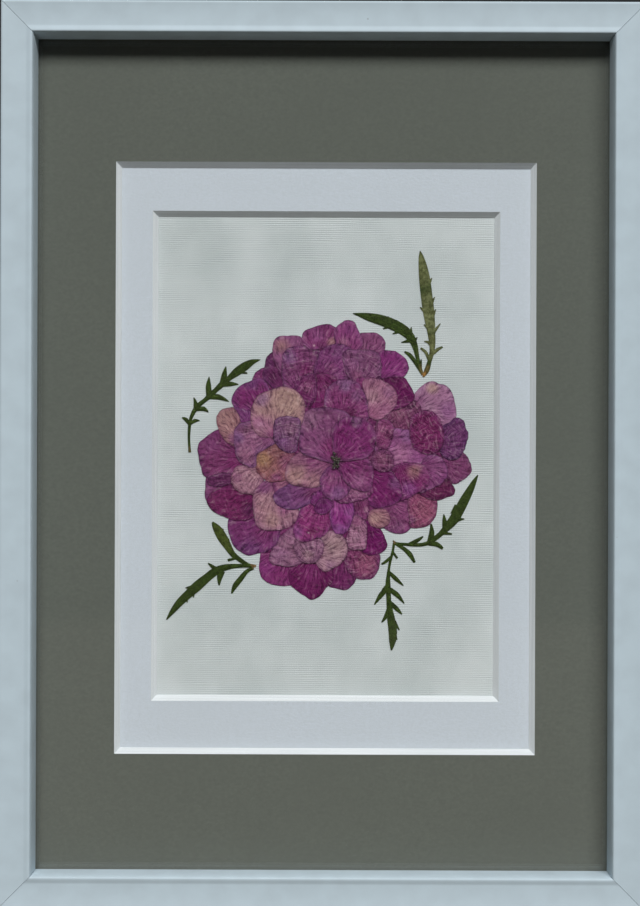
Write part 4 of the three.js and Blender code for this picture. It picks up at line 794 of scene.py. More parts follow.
                     (17.6, -13.2), (14.9, -15.4), (10.5, -16.5), (6.6, -16.9)), (3, -18),
     "#80486e #7c3a68 #6c4468", 0.95, 0.8, ((12, -13, 3, "#a06c88"), (16, -12, 1.8, "#8a4a74"))),
    ("floret_centre", ((2.6, -0.6), (-3, 1.4), (-9, 0.6), (-12.4, -3.4), (-13.2, -7),
                       (-12, -9.7), (-8, -11), (-3.5, -11.4), (-0.6, -10.6), (1, -6),
                       (4.4, -2.6)), (5, -1), "#8f6474 #7c3a66 #7c5c68", 0.35, 0.7,
     (EYE, (-9.5, -7, 5, "#a98f74"), (-3, -9.4, 3, "#a07e74"), (-4, -1.5, 3.5, "#864a70"))),
    ("floret_centre", ((5.6, -2.6), (1.4, -4.6), (-0.9, -8.5), (-0.5, -12), (1.5, -14.8),
                       (4.5, -15.8), (7.5, -15), (9.7, -12.5), (10, -9), (7.5, -5)), (4.6, -1),
     "#7f3c6e #762660 #604c74", 0.35, 0.8,
     (EYE, (5, -13.4, 3, "#6c5480"), (3.5, -8.5, 3, "#94557e"))),
    ("floret_centre", ((4.6, -1), (10, 0.6), (15, 0), (17.7, -3.6), (18, -8), (17.2, -11.5),
                       (15.3, -13), (12.5, -12.2), (8.8, -10.4), (6, -6)), (3.6, -1),
     "#783264 #721a58 #6a4a70", 0.4, 0.8,
     (EYE, (13, -9, 3, "#8f5a80"), (9.5, -4, 3, "#7e2464"))),
    ("floret_centre", ((5.4, -2.4), (-1, -1.6), (-7.6, 1), (-8.2, 7), (-6.8, 13.8), (-4, 16.3),
                       (2, 16.8), (7, 15.8), (10, 13), (8, 6)), (5, -4),
     "#7a4c72 #7a2a62 #625074", 0.35, 0.85,
     (EYE, (-4.5, 13, 4.5, "#866a80"), (2.5, 3, 3.2, "#822c62"), (-6, 3, 3, "#7a4a70"))),
    ("floret_centre", ((4.4, -1.6), (3.5, 5), (3.3, 8), (4.4, 11), (6.6, 12.8), (9.5, 13.7),
                       (12.6, 13.5), (15.6, 12.2), (17.6, 10), (18.7, 6.6), (18.4, 2.6),
                       (16, -0.6), (12, -1.6)), (3.6, -3), "#7a2664 #861f60 #66506f", 0.35, 0.85,
     (EYE, (12, 11.5, 3, "#6c5678"), (6.5, 7, 3, "#701c58"), (13, 4, 4, "#84306c"))),
    ("petal_beige_large", None, (-17, 5), "#b3907f #8f5078 #8a6478", 0.3, 0.7,
     ((-12, 19, 7, "#c0a284"), (-21.5, 20, 3.5, "#8a7890"), (-22, 11, 4, "#a06a86"),
      (-16.5, 7.5, 2.8, "#80305f"))),
    ("grey_crinkled", ((-16.8, 12.4), (-15, 13.4), (-11.5, 13.7), (-8.2, 12.8), (-7.7, 9.7),
                       (-8.4, 5.3), (-9.3, 1.4), (-12.8, 0.9), (-15.4, 2.7), (-17.2, 5.3),
                       (-17.4, 8.9)), (-12, 0), "#6e5a74 #6a4a6c #50466a", 1.0, 0.5,
     ((-11, 9, 3, "#7c6678"), (-14, 5, 3, "#64527a"))),
)

# Sepals at the bottom of the pile, which show only in the gaps: x, z and radius, and the two
# sets of colours that they take in turn.
BED_SHADES = ("#7c3064 #6a2258 #54305c", "#843a6c #702a5e #5c3864")
BED = (
    (-19, 24, 6.5), (-6, 17, 7), (-8.5, 3, 6.5), (-22.5, 1, 6.5), (-1, 35.5, 5.5), (9, 27, 6.5),
    (17.5, 12, 6.5), (18, 1, 6), (41, 1, 5.5), (-12.5, -26, 6.5), (-2.5, -30, 6), (3.3, -25, 6),
    (12, -19.5, 6), (17, -21.5, 5.5), (8.5, -31.5, 5.5), (-28, -11, 5.5), (30, 9, 6), (30, -17, 6),
)

# Where a leaf is not the usual olive: x, z, radius and colour.
LEAF_TINTS = (
    (-34.5, -29, 8, "#40521f"),
    (-24, -39.2, 1.6, "#8a7650"),
    (36, 66, 8, "#667449"),
    (38, 50, 10, "#6a784e"),
    (38, 38, 6, "#647046"),
    (36, 30, 3.6, "#5f5a30"),
    (35.3, 27.7, 1.6, "#8a6a34"),
    (-47, 0.8, 2, "#5c5a38"),
    (25, -30, 1.4, "#6a5c3a"),
)

# The hex values are as a sepal or leaf looks behind the glass indoors. These factors for red,
# green and blue make them pigments.
PIGMENT = np.array([1.50, 1.27, 1.48])


def toned(code, settings):
    """A sepal's pigment, its hue drawn towards the tone that all of them have faded to."""
    common = np.array(settings.common_tone)
    stops = np.log(np.array(linear(code)) / common)
    lighter = stops.mean()
    # The pigment takes out green most, so green comes back first as a sepal pales.
    paler = lighter * settings.lightness_spread * np.array([0.82, 1.25, 0.93])
    hue = (stops - lighter) * settings.hue_spread * np.array([0.55, 1.06, 0.95])
    return PIGMENT * common * np.exp(hue + paler)


def sepal_colours(x, z, edge, along, row, seed, settings):
    """The colour at each place: heart at the claw, face, rim, then patches and mottling."""
    face, heart, rim = (toned(code, settings) for code in row[3].split())
    heart_share = (1 - ramp(along, 0.12, 0.5)) * 0.8
    colour = face + (heart - face) * heart_share[:, None]
    # The rim's own colour runs in by about 1.1 mm, to a ragged line.
    ragged = edge * (1 + 0.5 * wander(x / 2.5, z / 2.5, seed))
    rim_share = 0.6 * np.exp(-((ragged / 1.1) ** 2))
    colour = colour + (rim - colour) * rim_share[:, None]
    for number, (px, pz, radius, code) in enumerate(row[6]):
        away = np.hypot(x - px, z - pz) + 0.35 * radius * wander_fine(x / 3, z / 3, seed + number)
        share = 0.9 - 0.9 * ramp(away, 0.2 * radius, 1.25 * radius)
        share = share * (0.4 + 0.6 * ramp(edge, 0.1, 0.9))
        colour = colour + (toned(code, settings) - colour) * share[:, None]
    # Mottling 3 mm across, and a dark edge 0.24 mm wide that comes and goes: partly the dry rim's
    # own colour, partly painted shade along the edge.
    shade = 1 + 0.16 * wander_fine(x / 3, z / 3, seed + 31)
    dry_rim_and_shade = 0.42 + 0.3 * wander(x / 4, z / 4, seed + 37)
    shade *= 1 - dry_rim_and_shade * np.exp(-((edge / 0.24) ** 2))
    return np.clip(colour * shade[:, None], 0.003, 1)


def sepal_relief(x, z, edge, angle, reach, row, seed, settings):
    """How far each place stands off what lies below, in mm."""
    crinkle, veining = row[4], row[5]
    pleats = 1 - np.abs(wander(angle * 6, reach / 5, seed + 9))
    creases = 1 - np.abs(wander(angle * 1.6, reach / 1.1, seed + 5))
    wrinkle = settings.wrinkle_height / MM
    height = 0.09 * (1 + wander(x / 5, z / 5, seed + 11))
    height = height + wrinkle * (0.25 + 0.5 * veining) * pleats**2
    height = height + wrinkle * crinkle * creases**2
    lift = 0.10 + 0.10 * wander(angle * 1.7, reach / 6, seed + 17)
    return height * ramp(edge, 0, 1.1) + lift * np.exp(-edge / 0.8)


def sheet(pile, outline, claw, row, seed, settings):
    """Lays one sepal on the pile. Gives its mesh, what its finish reads, and its heights."""
    middle = outline.mean(0)
    around = np.arange(len(outline))
    # The outline waves by up to 0.14 mm.
    push = 0.14 * wander(around / 3.1, around * 0 + seed, seed)
    away = outline - middle
    outline = outline + away / np.linalg.norm(away, axis=1)[:, None] * push[:, None]
    axis = math.atan2(*(middle - claw)[::-1])
    length = np.hypot(*(outline - claw).T).max()

    def fan(x, z):
        angle = np.arctan2(z - claw[1], x - claw[0]) - axis
        return (angle + math.pi) % (2 * math.pi) - math.pi, np.hypot(x - claw[0], z - claw[1])

    cells, grid_x, grid_z = pile.window(outline)
    edge = edge_distance(grid_x, grid_z, outline)
    within = inside(grid_x, grid_z, outline)
    edge_in = np.where(within, edge, 0)
    angle, reach = fan(grid_x, grid_z)
    top = pile.softened(cells, within | (edge < 0.6))
    top = top + sepal_relief(grid_x, grid_z, edge_in, angle, reach, row, seed, settings)
    top = top + (settings.thickness + settings.gap) / MM
    points, faces = fill(outline, settings.spacing / MM, seed)
    x, z = points.T
    height = sample(top, grid_x[0], grid_z[:, 0], x, z)
    pile.height[cells] = np.where(within, top, pile.height[cells])
    angle, reach = fan(x, z)
    depth = np.where(np.arange(len(x)) < len(outline), 0, edge_distance(x, z, outline))
    tint = sepal_colours(x, z, depth, reach / length, row, seed, settings)
    grain = np.tile((row[5], row[4]), (len(x), 1))
    verts, solid = sheet_solid(points, faces, height, settings.thickness / MM)
    return verts, solid, tint, grain, np.column_stack([angle, reach / 10]), (x, z, height)


def bed_rows():
    """Rows like those of the sepals for the roundish ones at the bottom of the pile."""
    rows = []
    turn = np.linspace(0, 2 * math.pi, 11)[:-1]
    for seed, (x, z, radius) in enumerate(BED):
        reach = radius * (1 + 0.12 * wander(turn * 1.3, turn * 0, 900 + seed))
        outline = np.column_stack([x + reach * np.cos(turn), z + reach * np.sin(turn)])
        rows.append((f"bed_{seed + 1}", outline, None, BED_SHADES[seed % 2], 0.4, 0.7, ()))
    return rows


def claw_of(outline):
    """The usual claw: 2 mm past the side of the sepal that lies nearest to the heart."""
    nearest = outline[np.hypot(*(outline - HEART).T).argmin()]
    inward = HEART - nearest
    return nearest + 2.0 * inward / np.hypot(*inward)


def joined(parts):
    """Several sheets as the arrays of one mesh."""
    verts, faces, tint, grain, fan = [], [], [], [], []
    for part in parts:
        merge(verts, faces, part[0], part[1])
        # The back of a sheet takes the same values as its front.
        for whole, one in ((tint, part[2]), (grain, part[3]), (fan, part[4])):
            whole.extend((one, one))
    return verts, faces, np.vstack(tint), np.vstack(grain), np.vstack(fan)


def flat_piece(name, parts, material, replaced):
    """One piece from its sheets, with its colours and its vein map."""
    verts, faces, tint, grain, fan = joined(parts)
    made = piece(name, verts, faces, material, replaced)
    store(made.data, "tint", tint)
    store(made.data, "grain", grain)
    store_fan(made.data, fan)
    smooth(made, 60)
    return made


def rounded(loop, per_span=5, corner=50):
    """A loop of straight edges made smooth, with its sharp corners kept."""
    before, after = loop - np.roll(loop, 1, 0), np.roll(loop, -1, 0) - loop
    turn = np.arctan2(*(before[:, 0] * after[:, 1] - before[:, 1] * after[:, 0],
                        (before * after).sum(1)))
    sharp = np.flatnonzero(np.abs(turn) > math.radians(corner))
    if len(sharp) < 2:
        return curve_through(loop, per_span)
    out = []
    for start, end in zip(sharp, np.roll(sharp, -1)):
        run = loop[np.arange(start, end + 1 + (len(loop) if end <= start else 0)) % len(loop)]
        out.append(curve_through(run, per_span, closed=False)[:-1])
    return spaced(np.vstack(out), 0.12)


def spaced(loop, least):
    """A loop with points closer than that left out."""
    kept = [loop[0]]
    for point in loop[1:]:
        if np.hypot(*(point - kept[-1])) > least:
            kept.append(point)
    return np.array(kept)


def leaf_sheet(pile, outline, seed, settings):
    """Lays one sprig: thin at the edge, with a raised rib along the middle of each blade."""
    cells, grid_x, grid_z = pile.window(outline)
    edge = edge_distance(grid_x, grid_z, outline)
    within = inside(grid_x, grid_z, outline)
    slope = np.hypot(*np.gradient(np.where(within, edge, 0), Pile.CELL))
    rib = (1 - ramp(slope, 0.35, 0.9)) * ramp(edge, 0.25, 0.6) * within
    top = pile.softened(cells, within | (edge < 0.6))
    buckle = 0.06 * (1 + wander(grid_x / 3, grid_z / 3, seed))
    top = top + (settings.thickness + settings.gap) / MM + buckle + 0.12 * rib
    top = top + 0.05 * ramp(edge, 0, 0.5)
    points, faces = fill(outline, settings.spacing / MM, seed)
    x, z = points.T
    height = sample(top, grid_x[0], grid_z[:, 0], x, z)
    pile.height[cells] = np.where(within, top, pile.height[cells])
    rib = sample(rib, grid_x[0], grid_z[:, 0], x, z)
    depth = np.where(np.arange(len(x)) < len(outline), 0, edge_distance(x, z, outline))
    tint = np.tile(np.array(settings.leaf_colour) * PIGMENT, (len(x), 1))
    for px, pz, radius, code in LEAF_TINTS:
        away = np.hypot(x - px, z - pz) + wander(x / 2, z / 2, seed)
        share = 1 - ramp(away, 0.5 * radius, radius)
        tint += (np.array(linear(code)) * PIGMENT - tint) * share[:, None]
    tint *= (1 + 0.3 * rib + 0.18 * wander_fine(x / 1.6, z / 1.6, seed + 3))[:, None]
    tint *= (1 - 0.35 * np.exp(-((depth / 0.25) ** 2)))[:, None]
    verts, solid = sheet_solid(points, faces, height, settings.thickness / MM)
    return verts, solid, np.clip(tint, 0.003, 1), np.zeros((len(x), 2)), points / 10


def pellet(centre, half, turned, bands=5, spokes=8):
    """A small ellipsoid lying flat in the picture. centre and half are in mm."""
    cos, sin = math.cos(turned), math.sin(turned)

    def spot(tilt, round_angle):
        along = half[0] * math.cos(tilt)
        across = half[1] * math.sin(tilt) * math.cos(round_angle)
        out = half[2] * math.sin(tilt) * math.sin(round_angle)
        x = centre[0] + along * cos - across * sin
        z = centre[1] + along * sin + across * cos
        return to_row(x, z, CARD_Y - (centre[2] + out) * MM)

    verts = [spot(0, 0)]
    for band in range(1, bands):
        tilt = math.pi * band / bands
        verts += [spot(tilt, 2 * math.pi * spoke / spokes) for spoke in range(spokes)]
    verts.append(spot(math.pi, 0))
    faces, pole = [], len(verts) - 1
    for spoke in range(spokes):
        a, b = 1 + spoke, 1 + (spoke + 1) % spokes
        faces.append((0, a, b))
        for _ in range(bands - 2):
            faces.append((a, a + spokes, b + spokes, b))
            a, b = a + spokes, b + spokes
        faces.append((a, pole, b))
    return verts, faces


# ------------------------------------------------------------------ moulding and back


def bezier(p0, p1, p2, steps=10):
    """A curve from p0 to p2 drawn towards p1, without its first point."""
    out = []
    for i in range(1, steps + 1):
        t = i / steps
        out.append(tuple((1 - t) ** 2 * a + 2 * t * (1 - t) * b + t * t * c
                         for a, b, c in zip(p0, p1, p2)))
    return out


def rail_section(settings):
    """The moulding's section in mm: inward from the outer edge, and forward from the wall."""
    air, flank_steps = 0.05, 12
    face = (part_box("rail_left")[1].x - LEFT + settings.lip_reach) / MM
    depth = (WALL_Y - CREST_Y) / MM
    lip = (WALL_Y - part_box("glass")[0].y) / MM + air
    wall = settings.rebate_wall / MM
    foot = face - settings.bead_width / MM
    shoulder = depth - settings.shoulder_drop / MM
    curve, scoop = settings.shoulder_round / MM, settings.scoop_depth / MM
    soft, nose = settings.bead_round / MM, settings.bead_nose / MM
    valley = depth - settings.valley_depth / MM
    points = [(0, 0), (0, shoulder - curve)]
    points += bezier((0, shoulder - curve), (0, shoulder), (curve, shoulder))
    points += bezier((curve, shoulder), (foot / 2, shoulder - 2 * scoop), (foot, valley), 24)
    for step in range(1, flank_steps + 1):
        t = step / flank_steps
        rise = t * t * (3 - 2 * t)
        points.append((foot + (face - soft - foot) * t, valley + (depth - valley) * rise))
    points += bezier((face - soft, depth), (face, depth), (face, depth - nose))
    return points + [(face, lip), (wall, lip), (wall, 0)]


def rail(name, node, along, inward, length, span, section, gap, material):
    """A length of moulding with mitred ends. length, span and gap are in mm."""
    verts = []
    for side in (-1, 1):
        for depth_in, forward in section:
            half = length / 2 - depth_in - gap / 2
            x = along[0] * side * half + inward[0] * (depth_in - span / 2)
            z = along[1] * side * half + inward[1] * (depth_in - span / 2)
            verts.append(to_row(x, z, WALL_Y - forward * MM))
    count = len(section)
    inside_out = along[0] * inward[1] - along[1] * inward[0] > 0
    faces = [(i, (i + 1) % count, (i + 1) % count + count, i + count) for i in range(count)]
    faces += [tuple(reversed(range(count))), tuple(range(count, 2 * count))]
    if inside_out:
        faces = [tuple(reversed(face)) for face in faces]
    made = piece(name, verts, faces, material, (node,))
    smooth(made, 40)
    return made


def tab_tree(material):
    """Thin steel points set out along the inner edges of the rebate."""
    tree = bpy.data.node_groups.new("Points along the rebate", "GeometryNodeTree")
    new_socket = tree.interface.new_socket
    new_socket("Geometry", in_out="INPUT", socket_type="NodeSocketGeometry")
    sizes = {}
    for name in ("Length", "Width", "Thickness"):
        sizes[name] = new_socket(name, in_out="INPUT", socket_type="NodeSocketFloat")
    sizes["Each side"] = new_socket("Each side", in_out="INPUT", socket_type="NodeSocketInt")
    new_socket("Geometry", in_out="OUTPUT", socket_type="NodeSocketGeometry")
    given = add(tree, "NodeGroupInput").outputs
    line = add(tree, "GeometryNodeMeshToCurve", {0: given["Geometry"]}).outputs[0]
    spots = {"Curve": line, "Count": given["Each side"]}
    spots = add(tree, "GeometryNodeResampleCurve", spots).outputs[0]
    run = add(tree, "GeometryNodeInputTangent").outputs[0]
    inward = add(tree, "ShaderNodeVectorMath", {0: run, 1: (0, 1, 0)}, operation="CROSS_PRODUCT")
    turned = add(tree, "FunctionNodeAlignRotationToVector", {"Vector": inward.outputs[0]})
    turned = add(tree, "FunctionNodeAlignRotationToVector",
                 {"Rotation": turned.outputs[0], "Vector": (0, 1, 0)}, axis="Y",
                 pivot_axis="Z")
    size = add(tree, "ShaderNodeCombineXYZ",
               {0: given["Width"], 1: given["Thickness"], 2: given["Length"]}).outputs[0]
    strip = add(tree, "GeometryNodeMeshCube", {"Size": size}).outputs["Mesh"]
    placed = {"Points": spots, "Instance": strip, "Rotation": turned.outputs[0]}
    placed = add(tree, "GeometryNodeInstanceOnPoints", placed).outputs[0]
    real = add(tree, "GeometryNodeRealizeInstances", {0: placed}).outputs[0]
    done = add(tree, "GeometryNodeSetMaterial", {"Geometry": real, "Material": material})
    add(tree, "NodeGroupOutput", {0: done.outputs[0]})
    return tree, {name: socket.identifier for name, socket in sizes.items()}


def grown(name, points, edges, tree, values):
    """Runs a node tree on a wire and keeps what it makes as a plain mesh."""
    wire = bpy.data.meshes.new(name + "_wire")
    wire.from_pydata(points, edges, [])
    holder = bpy.data.objects.new(name, wire)
    bpy.context.scene.collection.objects.link(holder)
    live = holder.modifiers.new("Grow", "NODES")
    live.node_group = tree
    for identifier, value in values.items():
        live[identifier] = value
    ready = holder.evaluated_get(bpy.context.evaluated_depsgraph_get())
    mesh = bpy.data.meshes.new_from_object(ready)
    holder.modifiers.remove(live)
    holder.data = mesh
    bpy.data.meshes.remove(wire)
    return holder


def turned_solid(centre, profile, spokes=20):
    """A round solid about a line through centre towards the wall. profile: radius, rise."""
    verts, faces = [], []
    for radius, rise in profile:
        for spoke in range(spokes):
            angle = 2 * math.pi * spoke / spokes
            x, z = centre[0] + radius * math.cos(angle), centre[2] + radius * math.sin(angle)
            verts.append((x, centre[1] + rise, z))
    for ring in range(len(profile) - 1):
        for spoke in range(spokes):
            a, b = ring * spokes + spoke, ring * spokes + (spoke + 1) % spokes
            faces.append((a, a + spokes, b + spokes, b))
    faces.append(tuple(range(spokes)))
    faces.append(tuple(reversed(range(len(verts) - spokes, len(verts)))))
    return verts, faces


# ------------------------------------------------------------------ what a user can change


def size_in_mm(name, description, default_mm):
    """A length that a user can change, with its default in mm."""
    return FloatProperty(name=name, description=description, default=default_mm * MM,
                         subtype="DISTANCE", unit="LENGTH", min=0)


def colour_of(name, description, code):
    """A colour that a user can change, with its default as an sRGB hex value."""
    return FloatVectorProperty(name=name, description=description, default=linear(code),
                               subtype="COLOR", size=3, min=0, max=1)


class MouldingSettings(bpy.types.PropertyGroup):
    """Sizes and colour of the moulding."""

    moulding_colour: colour_of("Colour", "Colour of the foil", "#c9dae6")
    shoulder_drop: size_in_mm("Shoulder drop", "Outer shoulder below the crest of the bead", 0.02)
    valley_depth: size_in_mm("Valley depth", "Foot of the bead below its crest", 0.42)
    shoulder_round: size_in_mm("Shoulder round", "Rounding of the outer shoulder", 0.8)
    scoop_depth: size_in_mm("Scoop depth", "How deep the face is hollowed", 0.24)
    bead_width: size_in_mm("Bead width", "Width of the raised bead at the opening", 3.1)
    bead_round: size_in_mm("Bead round", "Rounding of the bead across its face", 1.0)
    bead_nose: size_in_mm("Bead nose", "How far back towards the glass the rounding runs", 6.4)
    lip_reach: size_in_mm("Lip reach", "How far the bead stands out past the solid rail", 0.5)
    rebate_wall: size_in_mm("Rebate wall", "Thickness of the wall round the rebate", 5.5)
    mitre_gap: size_in_mm("Mitre gap", "Open joint between two rails", 0.16)


class BoardSettings(bpy.types.PropertyGroup):
    """Colours of the sheets and sizes of what holds them in."""

    grey: colour_of("Grey board", "Face of the outer mount", "#6f746d")
    white: colour_of("White board", "Face of the inner mount", "#e3edfa")
    card_colour: colour_of("Card", "Colour of the linen card", "#eaf2f5")
    rib_spacing: size_in_mm("Rib spacing", "From one rib of the linen card to the next", 0.75)
    tab_length: size_in_mm("Point length", "Length of a steel point", 14)
    tab_width: size_in_mm("Point width", "Width of a steel point", 6)
    tab_thickness: size_in_mm("Point thickness", "Thickness of a steel point", 0.3)
    tabs: IntProperty(name="Points", description="Steel points along each side", default=3, min=2)


class FlowerSettings(bpy.types.PropertyGroup):
    """Sizes of the sepals and leaves."""

    thickness: size_in_mm("Thickness", "Thickness of a dried sepal or leaf", 0.06)
    gap: size_in_mm("Gap", "Air between a sepal and what it lies on", 0.02)
    spacing: size_in_mm("Mesh spacing", "From one point of the mesh to the next", 0.3)
    wrinkle_height: size_in_mm("Wrinkle height", "Height of the creases of a shrunken sepal", 0.13)
    vein_strength: FloatProperty(name="Vein strength", description="How dark the veins are",
                                 default=0.55, min=0, max=1, subtype="FACTOR")
    common_tone: colour_of("Common tone", "Tone that all sepals have faded towards", "#7b436a")
    hue_spread: FloatProperty(name="Hue spread", default=0.65, min=0, max=1, subtype="FACTOR",
                              description="How far each sepal keeps its own hue")
    lightness_spread: FloatProperty(name="Lightness spread", default=0.85, min=0, max=1,
                                    subtype="FACTOR",
                                    description="How far each sepal keeps its own lightness")
    leaf_colour: colour_of("Leaf", "Usual colour of a leaf", "#293f11")


class StageSettings(bpy.types.PropertyGroup):
    """Light and camera."""

    key_power: FloatProperty(name="Window light", description="Power of the window light",
                             default=640.0, min=0, unit="POWER")
    back_power: FloatProperty(name="Back light", description="Power of the light behind",
                              default=26.0, min=0, unit="POWER")
    sky: FloatProperty(name="Sky", description="Strength of the even light", default=0.032, min=0)
    distance: size_in_mm("Camera distance", "From the camera to the front of the moulding", 418.7)
    field: FloatProperty(name="Field of view", description="Upright angle of view",
                         default=math.radians(40.7), subtype="ANGLE", unit="ROTATION")


# ------------------------------------------------------------------ operators

pile = Pile()  # the leaves, the sepals and the heart are laid on it, in that order


class AddMoulding(bpy.types.Operator):
    """Adds four mitred lengths of white moulding"""

    bl_idname = "pressed_flowers.add_moulding"
    bl_label = "Moulding"

    def execute(self, context):
        settings = context.scene.flower_moulding
        material = moulding_foil(settings)
        section = rail_section(settings)
        wide, high = (RIGHT - LEFT) / MM, (TOP - BOTTOM) / MM
        gap = settings.mitre_gap / MM
        for side, along, inward, run, span in (
            ("top", (1, 0), (0, -1), wide, high),
            ("bottom", (1, 0), (0, 1), wide, high),
            ("left", (0, 1), (1, 0), high, wide),
            ("right", (0, 1), (-1, 0), high, wide),
        ):
            rail(f"moulding_{side}", f"rail_{side}", along, inward, run, span, section, gap,
                 material)
        return {"FINISHED"}


class AddBoards(bpy.types.Operator):
    """Finishes the glass, the two mounts and the linen card"""

    bl_idname = "pressed_flowers.add_boards"
    bl_label = "Glass, mounts and card"

    def execute(self, context):
        settings = context.scene.flower_boards
        # The white board has the coarser felt.
        grey = mount_board("Grey mount board", (*settings.grey, 1), rgba("#656a64"), 0.04)
        white = mount_board("White mount board", (*settings.white, 1), rgba("#d8e2ec"), 0.12)
        repaint("glass", float_glass())
        repaint("outer_mount", grey)
        repaint("inner_mount", white)
        repaint("linen_card", linen_card_paper(settings))
        return {"FINISHED"}


class AddBack(bpy.types.Operator):
    """Finishes the backing board and hanger, and adds the steel points and nails"""

    bl_idname = "pressed_flowers.add_back"
    bl_label = "Back"

    def execute(self, context):
        settings = context.scene.flower_boards
        repaint("backing_board", hardboard())
        steel = plated_steel("Zinc plated steel strip", "#b9b6ae", 0.35)
        repaint("hanger", steel)
        wall = context.scene.flower_moulding.rebate_wall
        inner = settings.tab_length / 2 + 0.1 * MM
        wide, high = (RIGHT - LEFT) / 2 - wall - inner, (TOP - BOTTOM) / 2 - wall - inner
        y = BOARD_BACK_Y + settings.tab_thickness / 2 + 0.05 * MM
        from_corner = 40 * MM
        points, edges = [], []
        for sign in (-1, 1):
            for ends in (
                ((-wide + from_corner, sign * high), (wide - from_corner, sign * high)),
                ((sign * wide, -high + from_corner), (sign * wide, high - from_corner)),
            ):
                edges.append((len(points), len(points) + 1))
                points += [(MIDDLE.x + a, y, MIDDLE.z + b) for a, b in ends]
        tree, sockets = tab_tree(plated_steel("Blued steel point", "#6c6d70", 0.4))
        values = {
            sockets["Length"]: settings.tab_length,
            sockets["Width"]: settings.tab_width,
            sockets["Thickness"]: settings.tab_thickness,
            sockets["Each side"]: settings.tabs,
        }
        tabs = grown("steel_points", points, edges, tree, values)
        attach(tabs, "root")
        low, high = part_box("hanger")
        foot, gauge = 3.5 * MM, 0.8 * MM
        verts, faces = [], []
        dome = ((2.0, 0.02), (2.2, 0.15), (2.1, 0.45), (1.6, 0.75), (0.8, 0.92), (0.1, 0.96))
        for x in (low.x + foot, high.x - foot):
            centre = (x, BOARD_BACK_Y + gauge, (low.z + high.z) / 2)
            merge(verts, faces, *turned_solid(centre, [(r * MM, h * MM) for r, h in dome]))
        smooth(piece("hanger_nails", verts, faces, steel), 40)
        return {"FINISHED"}


class AddLeaves(bpy.types.Operator):
    """Lays the four leaf sprigs on the card"""

    bl_idname = "pressed_flowers.add_leaves"
    bl_label = "Leaf sprigs"

    def execute(self, context):
        settings = context.scene.flower_sheets
        material = dried_leaf()
        sprigs = [n["node"] for n in frame["record"]["subparts"] if n["node"].startswith("sprig")]
        for seed, node in enumerate(sprigs):
            part = leaf_sheet(pile, rounded(node_outline(node)[0]), 500 + seed, settings)
            flat_piece(node.replace("sprig", "leaves"), [part], material, (node,))
        return {"FINISHED"}


class AddSepals(bpy.types.Operator):
    """Lays the hydrangea sepals and florets on the card, one over another"""

    bl_idname = "pressed_flowers.add_sepals"
    bl_label = "Sepals and florets"

    def execute(self, context):
        settings = context.scene.flower_sheets
        material = dried_sepal(settings)
        slots = {n["node"]: n["material_slot"] for n in frame["record"]["subparts"]}
        laid = {}
        for seed, row in enumerate((*bed_rows(), *SEPALS)):
            name, outline, claw = row[:3]
            outline = node_outline(name)[0] if outline is None else np.array(outline, float)
            outline = curve_through(outline, max(3, round(OUTLINE_POINTS / len(outline))))
            claw = claw_of(outline) if claw is None else np.array(claw, float)
            part = sheet(pile, outline, claw, row, 11 * seed + 1, settings)
            laid.setdefault(name, []).append(part)
        # Painted shade: a sepal is darkened where the pile nearby stands higher than it, under the
        # sepals that lie over it.
        level, overlap_shade = pile.levelled(), np.array([0.42, 0.6, 0.46])
        places = np.arange(len(level)) * pile.CELL - pile.REACH
        for name, parts in laid.items():
            for part in parts:
                x, z, height = part[5]
                covered = ramp(sample(level, places, places, x, z) - height, 0.02, 0.26)
                part[2][:] *= 1 - covered[:, None] * overlap_shade
            known = name in slots
            flat_piece("sepal_" + name, parts, material, (name,) if known else ())
        return {"FINISHED"}


class AddHeart(bpy.types.Operator):
    """Adds the dried stamens in the heart of the middle floret"""

    bl_idname = "pressed_flowers.add_heart"
    bl_label = "Heart"

    def execute(self, context):
        verts, faces = [], []
        count, seed, wide, high = 48, 77, 1.5, 3.1
        column, row = (round((place + pile.REACH) / pile.CELL) for place in HEART)
        base = pile.height[row, column]
        for number in range(count):
            angle, away, size, lift = (float(lattice(number, k, seed)) for k in (1, 2, 3, 4))
            turned = 2 * math.pi * angle
            x = HEART[0] + 0.1 + wide * away * math.cos(turned)
            z = HEART[1] + 0.1 + high * away * math.sin(turned)
            half = (0.3 + 0.35 * size, 0.16 + 0.16 * size, 0.12 + 0.1 * size)
            centre = (x, z, base + 0.12 + 0.2 * lift)
            merge(verts, faces, *pellet(centre, half, turned + 0.8 * (size - 0.5)))
        smooth(piece("heart_stamens", verts, faces, dried_stamens()), 60)
        return {"FINISHED"}


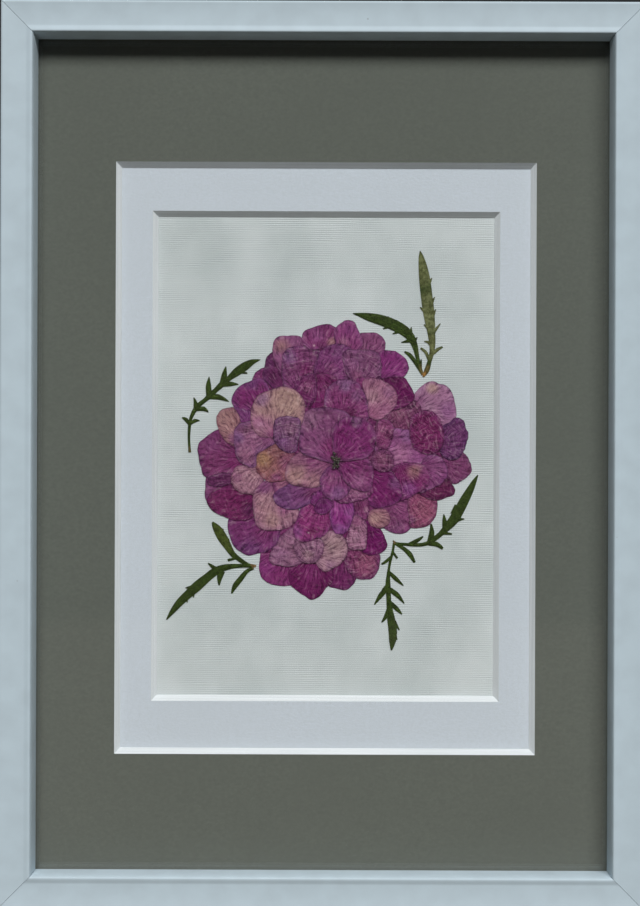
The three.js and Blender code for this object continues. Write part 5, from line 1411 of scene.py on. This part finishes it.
class AddStage(bpy.types.Operator):
    """Adds the floor, the soft lights and the camera"""

    bl_idname = "pressed_flowers.add_stage"
    bl_label = "Stage"

    def execute(self, context):
        scene, settings = context.scene, context.scene.flower_stage
        # The floor is 1.8 m square and lies half a millimetre under the frame.
        reach, z = 0.9, BOTTOM - 0.5 * MM
        corners = [(-reach, -reach, z), (reach, -reach, z), (reach, reach, z), (-reach, reach, z)]
        mesh = bpy.data.meshes.new("floor")
        mesh.from_pydata(corners, [], [(0, 1, 2, 3)])
        mesh.materials.append(floor_paint())
        floor = bpy.data.objects.new("floor", mesh)
        scene.collection.objects.link(floor)
        for name, place, size, power in (
            ("window", (0.9, -5.6, 5.1), (7.5, 2.3), settings.key_power),
            ("back_fill", (0.0, 2.2, 0.9), (1.6, 1.6), settings.back_power),
        ):
            lamp = bpy.data.lights.new(name, "AREA")
            lamp.shape, (lamp.size, lamp.size_y) = "RECTANGLE", size
            lamp.energy = power
            lamp.color = linear("#fdfdfa")
            light = bpy.data.objects.new(name, lamp)
            light.location = MIDDLE + Vector(place)
            light.rotation_euler = (-Vector(place)).to_track_quat("-Z", "Y").to_euler()
            scene.collection.objects.link(light)
        world = bpy.data.worlds.new("studio")
        world.use_nodes = True
        even = world.node_tree.nodes["Background"]
        even.inputs["Color"].default_value = rgba("#eef3f6")
        even.inputs["Strength"].default_value = settings.sky
        scene.world = world
        scene.view_settings.view_transform = "Standard"
        data = bpy.data.cameras.new("camera")
        data.lens = data.sensor_width / 2 / math.tan(settings.field / 2)
        data.clip_start, data.clip_end = 0.01, 20
        camera = bpy.data.objects.new("camera", data)
        # It is held almost level and stands almost in line with the middle of the picture.
        aside, above, tilt = -0.912 * MM, 0.757 * MM, math.radians(-0.21)
        camera.location = (MIDDLE.x + aside, CREST_Y - settings.distance, MIDDLE.z + above)
        camera.rotation_euler = (math.radians(90), tilt, 0)
        scene.collection.objects.link(camera)
        scene.camera = camera
        return {"FINISHED"}


STEPS = (AddMoulding, AddBoards, AddBack, AddLeaves, AddSepals, AddHeart, AddStage)


class FlowerPanel(bpy.types.Panel):
    """Lists the steps of the pressed flower frame"""

    bl_idname = "VIEW3D_PT_pressed_flowers"
    bl_label = "Pressed flower frame"
    bl_space_type = "VIEW_3D"
    bl_region_type = "UI"
    bl_category = "Pressed flowers"

    def draw(self, context):
        for step in STEPS:
            self.layout.operator(step.bl_idname)
        for name in SETTINGS:
            group = getattr(context.scene, name)
            box = self.layout.box()
            for key in group.bl_rna.properties.keys():
                if key not in ("name", "rna_type"):
                    box.prop(group, key)


SETTINGS = {
    "flower_moulding": MouldingSettings,
    "flower_boards": BoardSettings,
    "flower_sheets": FlowerSettings,
    "flower_stage": StageSettings,
}


def register():
    for name, group in SETTINGS.items():
        bpy.utils.register_class(group)
        setattr(bpy.types.Scene, name, PointerProperty(type=group))
    for made in (*STEPS, FlowerPanel):
        bpy.utils.register_class(made)


def unregister():
    for made in (FlowerPanel, *reversed(STEPS)):
        bpy.utils.unregister_class(made)
    for name, group in reversed(SETTINGS.items()):
        delattr(bpy.types.Scene, name)
        bpy.utils.unregister_class(group)


def main():
    register()
    for step in STEPS:
        group, name = step.bl_idname.split(".")
        getattr(getattr(bpy.ops, group), name)()


if __name__ == "__main__":
    main()
